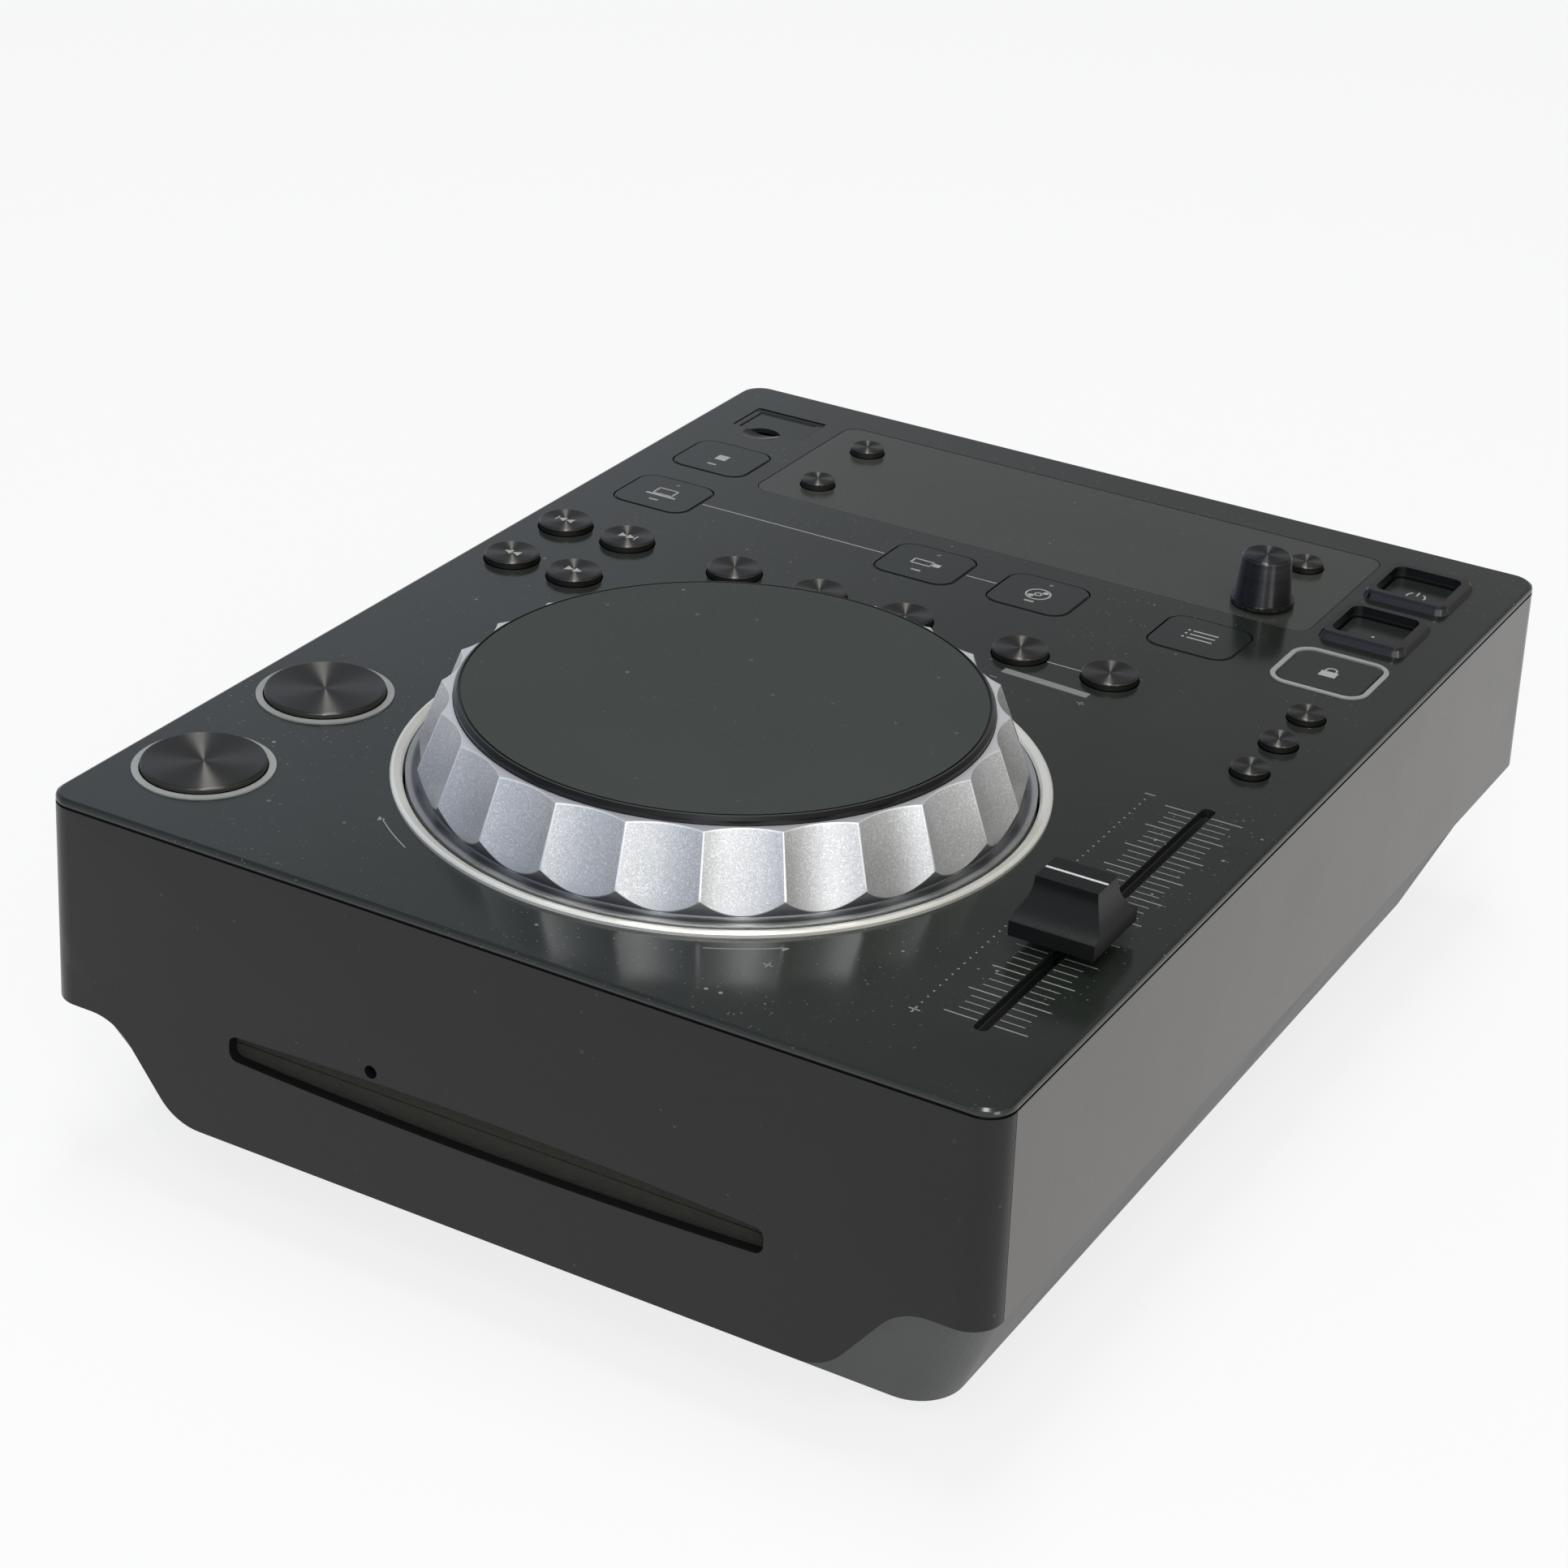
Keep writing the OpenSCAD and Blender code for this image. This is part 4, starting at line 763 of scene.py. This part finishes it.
@dataclass
class Stencil:
    """Flat marks of one ink that lie on one surface and become one thin piece."""

    name: str
    body: str
    ink: Ink
    height: float = 0.0
    thick: float = 0.03
    sink: float = 0.01
    origin: Point2 = (0.0, 0.0)
    shapes: bmesh.types.BMesh = field(default_factory=bmesh.new)

    def spot(self, point: Point2) -> Vector:
        """Return where a point of the stencil lies, in metres in the part's frame."""
        return at_plate(self.origin[0] + point[0], self.origin[1] + point[1], self.height - self.sink)

    def bar(self, start: Point2, end: Point2, width: float) -> None:
        """Add a straight bar.

        Args:
            start: the point where its middle line starts.
            end: the point where its middle line ends.
            width: the bar's width.
        """
        a, b = Vector(start), Vector(end)
        run = b - a
        turn = Matrix.Rotation(math.atan2(run.y, run.x), 4, "Z")
        size = Matrix.Diagonal((run.length * MM, width * MM, 1.0, 1.0))
        matrix = Matrix.Translation(self.spot((a + b) / 2)) @ turn @ size
        bmesh.ops.create_grid(self.shapes, x_segments=1, y_segments=1, size=0.5, matrix=matrix)

    def dot(self, centre: Point2, radius: float, sides: int = 16, turn: float = 0.0) -> None:
        """Add a filled dot or, with few sides, a small polygon with a corner at an angle in degrees."""
        matrix = Matrix.Translation(self.spot(centre)) @ Matrix.Rotation(math.radians(turn), 4, "Z")
        bmesh.ops.create_circle(self.shapes, cap_ends=True, segments=sides, radius=radius * MM, matrix=matrix)

    def arc(
        self, centre: Point2, radius: float, width: float, start: float, end: float, steps: int = 20
    ) -> None:
        """Add an arc band.

        Args:
            centre: the arc's centre.
            radius: the radius of the band's middle.
            width: the band's width.
            start: the angle at which it starts, in degrees.
            end: the angle at which it ends, in degrees.
            steps: how many faces the band has.
        """
        heading = math.radians(start)
        hub = self.spot(centre)
        out = Vector((math.cos(heading), math.sin(heading), 0.0))
        corners = [self.shapes.verts.new(hub + out * ((radius + side * width / 2) * MM)) for side in (-1, 1)]
        bmesh.ops.spin(
            self.shapes,
            geom=[*corners, self.shapes.edges.new(corners)],
            cent=hub,
            axis=(0.0, 0.0, 1.0),
            angle=math.radians(end - start),
            steps=steps,
            use_merge=abs(end - start) > 359.9,
        )

    def arrow(self, tip: Point2, turn: float, size: float) -> None:
        """Add a triangle whose point is at tip, facing an angle in degrees."""
        radius = size / 1.5
        self.dot(around(tip, -radius, turn), radius, 3, turn - 90.0)

    def frame(self, centre: Point2, half: Point2, width: float) -> None:
        """Add a rectangular outline.

        Args:
            centre: the rectangle's centre.
            half: half its width and half its depth.
            width: the width of its lines.
        """
        (x, y), (w, d) = centre, half
        for side in (-1, 1):
            self.bar((x - w, y + side * d), (x + w, y + side * d), width)
        for side in (-1, 1):
            self.bar((x + side * w, y - d), (x + side * w, y + d), width)

    def plus(self, centre: Point2, reach: float, width: float) -> None:
        """Add a plus.

        Args:
            centre: the point where its bars cross.
            reach: how far they reach from there.
            width: the width of its bars.
        """
        x, y = centre
        self.bar((x - reach, y), (x + reach, y), width)
        self.bar((x, y - reach), (x, y + reach), width)

    def finish(self) -> None:
        """Give the marks their thickness and make them a piece that rides on its body."""
        self.shapes.normal_update()
        bmesh.ops.reverse_faces(self.shapes, faces=[face for face in self.shapes.faces if face.normal.z < 0])
        thicken(self.shapes, (0.0, 0.0, self.thick * MM))
        settle(self.name, self.shapes, Palette.ink(self.ink), self.body)


def thicken(shape: bmesh.types.BMesh, lift: Sequence[float]) -> None:
    """Turn flat faces into a closed solid.

    Args:
        shape: the flat faces.
        lift: how far and which way they are extruded, in metres.
    """
    grown = bmesh.ops.extrude_face_region(shape, geom=list(shape.faces), use_keep_orig=True)
    moved = [part for part in grown["geom"] if isinstance(part, bmesh.types.BMVert)]
    bmesh.ops.translate(shape, verts=moved, vec=lift)
    bmesh.ops.recalc_face_normals(shape, faces=shape.faces)


def place_mesh(name: str, shape: bmesh.types.BMesh) -> bpy.types.Object:
    """Put a finished bmesh into the scene.

    Args:
        name: the name of the object and of its mesh.
        shape: the mesh in metres in the part's frame; it is freed.

    Returns:
        The new object.
    """
    mesh = bpy.data.meshes.new(name)
    shape.to_mesh(mesh)
    shape.free()
    piece = bpy.data.objects.new(name, mesh)
    bpy.context.scene.collection.objects.link(piece)
    return piece


def settle(name: str, shape: bmesh.types.BMesh, material: bpy.types.Material, body: str) -> bpy.types.Object:
    """Turn a finished bmesh into a piece that rides on a body.

    Args:
        name: the piece's name.
        shape: the mesh in metres in the part's frame; it is freed.
        material: the piece's material.
        body: the body that carries it.

    Returns:
        The new object.
    """
    for face in shape.faces:
        face.smooth = False
    piece = place_mesh(name, shape)
    piece.data.materials.append(material)
    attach(piece, body)
    LOG.info("piece %s on %s: %d faces", name, body, len(piece.data.polygons))
    return piece


def slab(centre: Sequence[float], size: Sequence[float], edge: float) -> bmesh.types.BMesh:
    """Make a small block with rounded edges, in millimetres of the plate's frame.

    Args:
        centre: the block's centre.
        size: its width, depth and height.
        edge: the radius of its edges.

    Returns:
        The block's bmesh.
    """
    shape = bmesh.new()
    bmesh.ops.create_cube(shape, size=1.0)
    bmesh.ops.scale(shape, vec=[s * MM for s in size], verts=shape.verts)
    bmesh.ops.bevel(
        shape, geom=list(shape.edges), offset=edge * MM, segments=2, profile=0.5, affect="EDGES", material=-1
    )
    bmesh.ops.translate(shape, vec=at_plate(*centre), verts=shape.verts)
    return shape


# ---------------------------------------------------------------- sub-assemblies


@dataclass
class SubAssembly:
    """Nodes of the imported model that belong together, and the pieces that are added to them.

    A sub-assembly's table named finishes gives the finish of each of its nodes.
    """

    frame: dict[str, Any]
    finishes = {}

    def dress(self) -> None:
        """Give the nodes their finishes."""
        for names, finish in self.finishes.items():
            self.cover(finish, names)

    def cover(self, finish: Finish, names: str) -> None:
        """Give nodes a finish.

        Args:
            finish: the finish to use.
            names: the nodes' names, with spaces between them.
        """
        for name in names.split():
            mesh = self.frame["nodes"][name].data
            mesh.materials.clear()
            mesh.materials.append(Palette.get(finish))

    def build(self) -> None:
        """Add the sub-assembly's own pieces, where it has any."""


class Shell(SubAssembly):
    """The case: plate, side housing, lower case, feet, screws, window and flap."""

    finishes = {
        "top_panel": Palette.PLATE,
        "side_housing": Palette.SIDES_WITH_PAINTED_REFLECTION,
        "bottom_case": Palette.TUB,
        "rubber_feet": Palette.RUBBER,
        "case_screws usb_port": Palette.STEEL,
        "display_window": Palette.WINDOW,
        "display_module": Palette.LCD,
        "usb_flap": Palette.PANEL_KEY,
    }


@dataclass
class DiscSlot(SubAssembly):
    """The front panel, whose slot widens towards its middle, and the felt lips that meet behind it."""

    centre_z: float = -43.9
    reach: float = 60.6
    half_height: float = 2.9
    swell: float = 1.5
    columns: int = 40
    front_y: float = -146.0
    cut_depth: float = 8.0
    lip_y: float = -140.85
    lip_size: Point2 = (128.0, 0.86)
    lips: tuple[tuple[str, float, float], ...] = (
        ("felt_lip_upper", -43.8, -38.3),
        ("felt_lip_lower", -49.6, -44.0),
    )
    finishes = {"front_panel": Palette.PANEL, "slot_felt": Palette.FELT}

    def cutter(self) -> bmesh.types.BMesh:
        """Make the lens-shaped block that widens the slot."""
        shape = bmesh.new()
        place = Matrix.Translation(at_plate(0.0, self.front_y, self.centre_z))
        upright = Matrix.Rotation(math.radians(90.0), 4, "X")
        size = Matrix.Diagonal((2.0 * self.reach * MM, 2.0 * self.half_height * MM, 1.0, 1.0))
        matrix = place @ upright @ size
        bmesh.ops.create_grid(shape, x_segments=self.columns, y_segments=1, size=0.5, matrix=matrix)
        middle = (self.centre_z + PLATE_TOP) * MM
        for vert in shape.verts:
            share = vert.co.x / (self.reach * MM)
            side = 1.0 if vert.co.z > middle else -1.0
            lift = side * self.swell * MM * (1.0 - share * share)
            bmesh.ops.translate(shape, verts=[vert], vec=(0.0, 0.0, lift))
        thicken(shape, (0.0, self.cut_depth * MM, 0.0))
        return shape

    def panel(self) -> None:
        """Cut the wider slot in a copy of the panel, which then stands for the panel's node."""
        shape = bmesh.new()
        shape.from_mesh(self.frame["nodes"]["front_panel"].data)
        bmesh.ops.remove_doubles(shape, verts=shape.verts, dist=1e-6)
        panel = settle("front_panel_face", shape, Palette.get(Palette.PANEL), "body")
        tool = place_mesh("slot_cutter", self.cutter())
        cut = panel.modifiers.new("slot", "BOOLEAN")
        cut.operation, cut.solver, cut.object = "DIFFERENCE", "EXACT", tool
        graph = bpy.context.evaluated_depsgraph_get()
        whole = bpy.data.meshes.new_from_object(panel.evaluated_get(graph))
        panel.modifiers.clear()
        panel.data = whole
        bpy.data.objects.remove(tool)
        whole.shade_smooth()
        whole.set_sharp_from_angle(angle=math.radians(25.0))
        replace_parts(panel, "front_panel")

    def build(self) -> None:
        """Build the panel and the two lips, which meet in the middle of the slot."""
        self.panel()
        for name, low, high in self.lips:
            lip = slab((0.0, self.lip_y, (low + high) / 2), (*self.lip_size, high - low), 0.15)
            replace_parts(settle(name, lip, Palette.get(Palette.FELT), "body"), "slot_felt")


@dataclass
class JogWheel(SubAssembly):
    """The scalloped wheel with its disc, trim ring and the marks in front of it."""

    mark_radius: float = 73.0
    line: float = 0.26
    marks: tuple[tuple[float, float, float, float], ...] = (
        (-62.2, -49.6, -49.2, 40.4),
        (-129.8, -119.1, -130.3, 139.7),
    )
    finishes = {
        "jog_wheel": Palette.SILVER,
        "jog_trim_ring": Palette.TRIM,
        "jog_top_disc": Palette.DISC,
        "jog_base": Palette.BLACK,
    }

    def build(self) -> None:
        """Print the two turning marks in front of the wheel, and the plus beside one."""
        signs = Stencil("wheel_direction_marks", "body", Ink.LINE)
        for start, end, tip, facing in self.marks:
            signs.arc(WHEEL_CENTRE, self.mark_radius, self.line, start, end)
            signs.arrow(around(WHEEL_CENTRE, self.mark_radius + 0.3, tip), facing, 1.5)
        signs.plus((47.6, -119.9), 1.1, 0.28)
        signs.finish()


@dataclass
class TempoSlider(SubAssembly):
    """The tempo slider: cap, scale and fader body."""

    x: float = 91.7
    far: float = -16.3
    near: float = -115.6
    steps: int = 40
    long_mark: Point2 = (8.7, 0.34)
    short_mark: Point2 = (6.9, 0.24)
    dots_x: float = 78.3
    middle_y: float = -65.65
    cap_y: float = -79.5
    finishes = {"tempo_fader_cap": Palette.CAP, "fader_body": Palette.STEEL}

    def build(self) -> None:
        """Print the scale, its dots, its plus and minus, and put the white line on the cap."""
        scale = Stencil("tempo_scale", "body", Ink.LINE)
        for i in range(self.steps + 1):
            y = self.far + (self.near - self.far) * i / self.steps
            reach, width = self.long_mark if i % 4 == 0 else self.short_mark
            for side in (-1, 1):
                scale.bar((self.x + side * 1.75, y), (self.x + side * reach, y), width)
            if abs(y - self.middle_y) > 2.5:
                scale.dot((self.dots_x, y), 0.24, 8)
        scale.bar((77.1, -13.6), (79.5, -13.6), 0.34)
        scale.plus((78.3, -118.6), 1.2, 0.34)
        scale.finish()
        line = slab((self.x, self.cap_y, 14.8), (13.2, 0.62, 0.16), 0.03)
        settle("slider_cap_line", line, Palette.ink(Ink.WHITE), "tempo_fader_cap")


class Symbol(Enum):
    """Generic symbols on the keys: the stencil's shapes, measured from the key's centre."""

    SKIP_BACK = (
        ("bar", (-2.3, -1.1), (-2.3, 1.1), 0.35),
        ("arrow", (-2.0, 0.0), 180.0, 1.9),
        ("arrow", (0.1, 0.0), 180.0, 1.9),
    )
    SKIP_ON = (
        ("bar", (2.3, -1.1), (2.3, 1.1), 0.35),
        ("arrow", (2.0, 0.0), 0.0, 1.9),
        ("arrow", (-0.1, 0.0), 0.0, 1.9),
    )
    REWIND = (("arrow", (-2.0, 0.0), 180.0, 2.0), ("arrow", (0.2, 0.0), 180.0, 2.0))
    FORWARD = (("arrow", (2.0, 0.0), 0.0, 2.0), ("arrow", (-0.2, 0.0), 0.0, 2.0))
    COMPUTER = (("frame", (0.0, 1.0), (2.6, 1.7), 0.42), ("bar", (-4.1, -1.5), (4.1, -1.5), 0.75))
    STICK = (("frame", (-0.9, 0.3), (2.5, 1.25), 0.45), ("bar", (1.6, 0.3), (3.8, 0.3), 1.7))
    DISC = (
        ("arc", (0.0, 0.0), 2.9, 0.4, 0.0, 360.0, 32),
        ("arc", (0.0, 0.0), 0.8, 0.4, 0.0, 360.0, 18),
        ("arc", (0.0, 0.0), 1.85, 1.3, 25.0, 65.0, 8),
        ("arc", (0.0, 0.0), 1.85, 1.3, 205.0, 245.0, 8),
    )
    STOP = (("bar", (-1.5, 0.3), (1.5, 0.3), 3.0),)
    LIST = (
        ("dot", (-3.6, 2.4), 0.35, 10),
        ("bar", (-2.6, 2.4), (3.6, 2.4), 0.5),
        ("dot", (-3.6, 0.4), 0.35, 10),
        ("bar", (-2.6, 0.4), (3.6, 0.4), 0.5),
        ("dot", (-3.6, -1.6), 0.35, 10),
        ("bar", (-2.6, -1.6), (3.6, -1.6), 0.5),
    )
    PADLOCK = (
        ("bar", (-2.0, -0.8), (2.0, -0.8), 2.8),
        ("arc", (0.0, 1.2), 1.25, 0.45, 0.0, 180.0, 14),
        ("bar", (-1.25, 0.5), (-1.25, 1.3), 0.45),
        ("bar", (1.25, 0.5), (1.25, 1.3), 0.45),
    )
    POWER = (("arc", (0.0, -1.2), 2.2, 0.45, 125.0, 415.0, 26), ("bar", (0.0, -0.6), (0.0, 1.6), 0.45))
    EJECT = (("dot", (0.0, -1.0), 0.4, 12),)


@dataclass
class KeyCap:
    """One key's marks: its node, place, height, and what stands on it."""

    node: str
    x: float
    y: float
    top: float
    symbol: Symbol
    lamp: bool = False
    pip: bool = False

    @property
    def dished(self) -> bool:
        """Whether the key's face is hollow, as on the round keys."""
        return self.top > 1.0

    def mark(self) -> None:
        """Print the key's symbol and set in its lamp."""
        deep = 0.12 if self.dished else 0.03
        centre = (self.x, self.y)
        sign = Stencil(f"{self.node}_symbol", self.node, Ink.PALE, self.top, deep, deep - 0.02, centre)
        for shape, *sizes in self.symbol.value:
            getattr(sign, shape)(*sizes)
        sign.finish()
        if self.lamp:
            lens = slab((self.x - 0.2, self.y - 4.6, self.top), (2.5, 0.7, 0.2), 0.08)
            settle(f"{self.node}_lamp", lens, Palette.get(Palette.LENS), self.node)
        if self.pip:
            dot = Stencil(f"{self.node}_pip", self.node, Ink.LAMP_OFF, self.top, origin=centre)
            dot.dot((0.4, 6.2), 0.55, 20)
            dot.finish()


@dataclass
class KeyField(SubAssembly):
    """All keys with their rings, symbols and lamps: caps are the marked keys, bare the plain round ones."""

    caps: tuple[KeyCap, ...] = (
        KeyCap("track_back_button", -97.4, 33.8, 1.69, Symbol.SKIP_BACK),
        KeyCap("track_forward_button", -80.2, 34.1, 1.69, Symbol.SKIP_ON),
        KeyCap("search_back_button", -97.2, 10.3, 1.69, Symbol.REWIND),
        KeyCap("search_forward_button", -79.8, 10.2, 1.69, Symbol.FORWARD),
        KeyCap("link_button", -88.7, 64.6, 0.15, Symbol.COMPUTER, True, True),
        KeyCap("usb_stop_button", -88.8, 92.6, 0.15, Symbol.STOP, True),
        KeyCap("usb_button", -16.0, 64.5, 0.15, Symbol.STICK, True, True),
        KeyCap("disc_button", 13.9, 64.3, 0.15, Symbol.DISC, True, True),
        KeyCap("playlist_button", 55.0, 64.4, 0.15, Symbol.LIST),
        KeyCap("bpm_lock_button", 87.0, 64.0, 0.15, Symbol.PADLOCK),
        KeyCap("eject_key", 87.3, 91.0, -0.8, Symbol.EJECT),
        KeyCap("power_key", 87.3, 118.6, -0.8, Symbol.POWER),
    )
    bare: tuple[tuple[str, float, float], ...] = (
        ("play_button", -89.8, -115.2),
        ("cue_button", -89.8, -73.2),
        ("loop_in_button", -50.2, 33.4),
        ("loop_out_button", -27.5, 33.4),
        ("reloop_button", -4.8, 33.2),
        ("beat_half_button", 25.0, 32.6),
        ("beat_double_button", 47.3, 32.4),
        ("time_mode_button", -60.9, 118.0),
        ("utility_button", -60.9, 92.3),
        ("back_button", 59.5, 116.5),
        ("vinyl_button", 91.6, 39.2),
        ("tempo_range_button", 91.6, 23.6),
        ("master_tempo_button", 91.6, 7.9),
    )
    finishes = {
        "link_button usb_stop_button usb_button disc_button playlist_button": Palette.PANEL_KEY,
        "bpm_lock_button eject_key power_key": Palette.PANEL_KEY,
        "light_rings": Palette.LENS,
    }

    def dress(self) -> None:
        """Give each key its finish, the round ones turned about their own axes."""
        super().dress()
        dished = [(cap.node, cap.x, cap.y) for cap in self.caps if cap.dished]
        for node, x, y in (*self.bare, *dished):
            black = TurnedFinish(
                f"spun black {node}", (0.078, 0.076, 0.070), 0.34,
                metallic=1.0, grain=3000.0, tone=0.05, dust=0.12, anisotropy=1.0, centre=(x, y),
            )
            self.cover(black, node)

    def build(self) -> None:
        """Mark every key that has a symbol or lamp."""
        for cap in self.caps:
            cap.mark()


class Selector(SubAssembly):
    """The turn-and-push selector knob and its shaft."""

    finishes = {
        "select_knob": TurnedFinish(
            "selector black", (0.05, 0.05, 0.053), 0.3,
            metallic=1.0, grain=2200.0, dust=0.25, anisotropy=1.0, centre=(59.0, 91.2), hem=0.6,
        ),
        "select_shaft": Palette.STEEL,
    }


class PlatePrint(SubAssembly):
    """Lines and plain marks printed on the plate."""

    def build(self) -> None:
        """Print the source line, the label bar and the small signs."""
        lines = Stencil("plate_lines", "body", Ink.PALE)
        lines.bar((-77.6, 64.6), (-27.0, 64.5), 0.3)
        lines.bar((-5.0, 64.4), (3.0, 64.4), 0.3)
        lines.bar((31.8, 32.5), (40.4, 32.4), 0.3)
        lines.finish()
        label = Stencil("loop_label_bar", "body", Ink.DIM)
        label.bar((25.6, 23.0), (47.1, 21.8), 2.4)
        label.bar((24.4, 18.6), (26.2, 18.5), 0.3)
        label.bar((46.4, 17.5), (48.2, 17.4), 0.3)
        label.bar((47.3, 16.55), (47.3, 18.35), 0.3)
        label.finish()


class RearSockets(SubAssembly):
    """The sockets on the rear wall."""

    finishes = {"rca_jacks": Palette.CHROME, "rear_sockets ac_inlet": Palette.BLACK}


class DiscDrive(SubAssembly):
    """The disc drive and the boards inside the case."""

    finishes = {
        "drive_chassis drive_cover drive_motors guide_rod lead_screw": Palette.STEEL,
        "feed_roller turntable_hub": Palette.RUBBER,
        "clamp_arm pickup_sled": Palette.BLACK,
        "key_board": Palette.KEY_BOARD,
        "main_board": Palette.MAIN_BOARD,
        "power_board": Palette.POWER_BOARD,
    }


# ---------------------------------------------------------------- studio


@dataclass
class Studio:
    """Camera, floor, lamps and world."""

    eye: tuple[float, float, float] = (0.32965, -0.64134, 0.42961)
    azimuth: float = 28.49
    elevation: float = 27.23
    roll: float = 2.91
    lens: float = 4428.0 / 1932.0 * 36.0
    floor_half: float = 15.0
    floor_glow: float = 0.80
    aim: tuple[float, float, float] = (0.0, 0.0, 0.05)

    def axes(self) -> tuple[Vector, Vector, Vector]:
        """Return the camera's right, up and backward directions."""
        az, el, roll = (math.radians(v) for v in (self.azimuth, self.elevation, self.roll))
        back = Vector((math.sin(az) * math.cos(el), -math.cos(az) * math.cos(el), math.sin(el)))
        right = (-back).cross(Vector((0.0, 0.0, 1.0))).normalized()
        up = right.cross(-back)
        return (
            math.cos(roll) * right + math.sin(roll) * up,
            -math.sin(roll) * right + math.cos(roll) * up,
            back,
        )

    def camera(self) -> None:
        """Set up the camera at the photograph's angle."""
        data = bpy.data.cameras.new("camera")
        data.sensor_width = 36.0
        data.lens = self.lens
        data.clip_start = 0.01
        eye = bpy.data.objects.new("camera", data)
        eye.matrix_world = Matrix.Translation(self.eye) @ Matrix(self.axes()).transposed().to_4x4()
        bpy.context.scene.collection.objects.link(eye)
        bpy.context.scene.camera = eye

    def floor(self) -> None:
        """Lay a wide pale floor under the feet, whiter to the camera and still shaded by the player."""
        shape = bmesh.new()
        bmesh.ops.create_grid(shape, x_segments=1, y_segments=1, size=self.floor_half)
        material = bpy.data.materials.new("floor")
        material.use_nodes = True
        sheet = Sheet(material.node_tree)
        nodes = material.node_tree.nodes
        shader = next(n for n in nodes if n.type == "BSDF_PRINCIPLED")
        surface = next(n for n in nodes if n.type == "OUTPUT_MATERIAL").inputs["Surface"]
        shader.inputs["Base Color"].default_value = (0.86, 0.86, 0.86, 1.0)
        shader.inputs["Roughness"].default_value = 0.9
        shader.inputs["Specular IOR Level"].default_value = 0.2
        glow = sheet.add("Emission", in_Color=(1.0, 1.0, 1.0), in_Strength=1.0)
        path = sheet.add("LightPath").outputs
        mirrored = sheet.math("MAXIMUM", path["Is Glossy Ray"], path["Is Transmission Ray"])
        seen = sheet.math("MAXIMUM", path["Is Camera Ray"], mirrored)
        both = sheet.add("MixShader")
        for slot, value in enumerate((sheet.times(seen, self.floor_glow), shader.outputs[0], glow.outputs[0])):
            sheet.feed(both.inputs[slot], value)
        sheet.feed(surface, both.outputs[0])
        ground = place_mesh("floor", shape)
        ground.data.materials.append(material)

    def lamp(
        self, name: str, place: Sequence[float], size: Point2, power: float, colour: Colour = (1.0, 1.0, 1.0)
    ) -> None:
        """Hang one area lamp that faces the player.

        Args:
            name: the lamp's name.
            place: where it hangs, in metres.
            size: its width and height, in metres.
            power: its power in watts.
            colour: the colour of its light.
        """
        data = bpy.data.lights.new(name, "AREA")
        data.shape = "RECTANGLE"
        data.size, data.size_y = size
        data.energy = power
        data.color = colour
        light = bpy.data.objects.new(name, data)
        turn = (Vector(place) - Vector(self.aim)).to_track_quat("Z", "Y").to_matrix().to_4x4()
        light.matrix_world = Matrix.Translation(Vector(place)) @ turn
        bpy.context.scene.collection.objects.link(light)

    def lamps(self) -> None:
        """Light the player softly from above, from the front and right, and from just over the camera."""
        self.lamp("overhead", (0.020, -0.037, 2.2), (0.34, 1.3), 19.0)
        self.lamp("front", (0.75, -1.5, 0.95), (1.4, 0.9), 5.5)
        self.lamp("over_camera", (0.47, -0.90, 1.12), (0.10, 0.30), 3.5)
        self.lamp("right", (1.42, -0.88, 0.40), (0.5, 0.45), 3.1, (0.96, 0.98, 1.0))

    def world(self) -> None:
        """Make a soft room: paler before the player, at its left and near the floor, darker behind it."""
        world = bpy.data.worlds.new("room")
        world.use_nodes = True
        sheet = Sheet(world.node_tree)
        back = next(n for n in world.node_tree.nodes if n.type == "BACKGROUND")
        heading = sheet.add("TexCoord").outputs["Generated"]

        def towards(direction: Sequence[float], low: float, high: float) -> Any:
            """Return how far a direction of the room lies towards another."""
            return sheet.window(sheet.vector("DOT_PRODUCT", heading, direction), low, high)

        across = towards((0.88, 0.46, 0.0), -0.8, 0.8)
        sheet.feed(back.inputs["Color"], sheet.mix(across, (0.72, 0.81, 1.0), (1.0, 0.97, 0.92)))
        low = sheet.rest(sheet.window(sheet.split(heading)["Z"], 0.30, 0.56))
        near = sheet.blend(towards((0.45, -0.85, 0.2), -0.45, 0.85), 0.22, 0.62)
        strength = sheet.math("MULTIPLY_ADD", low, 0.22, near)
        left = towards((-0.86, 0.44, 0.25), 0.78, 0.93)
        sheet.feed(back.inputs["Strength"], sheet.math("MULTIPLY_ADD", left, 0.32, strength))
        bpy.context.scene.world = world

    def build(self) -> None:
        """Build the whole studio."""
        self.camera()
        self.floor()
        self.lamps()
        self.world()
        bpy.context.scene.view_settings.view_transform = "Standard"


def main() -> None:
    """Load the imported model, dress it and build the pieces in order."""
    logging.basicConfig(level=logging.INFO, format="%(name)s: %(message)s")
    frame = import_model()
    Studio().build()
    for kind in (Shell, DiscSlot, JogWheel, TempoSlider, KeyField, Selector, RearSockets, DiscDrive, PlatePrint):
        part = kind(frame)
        part.dress()
        LOG.info("dressed %s", kind.__name__)
        part.build()


if __name__ == "__main__":
    main()
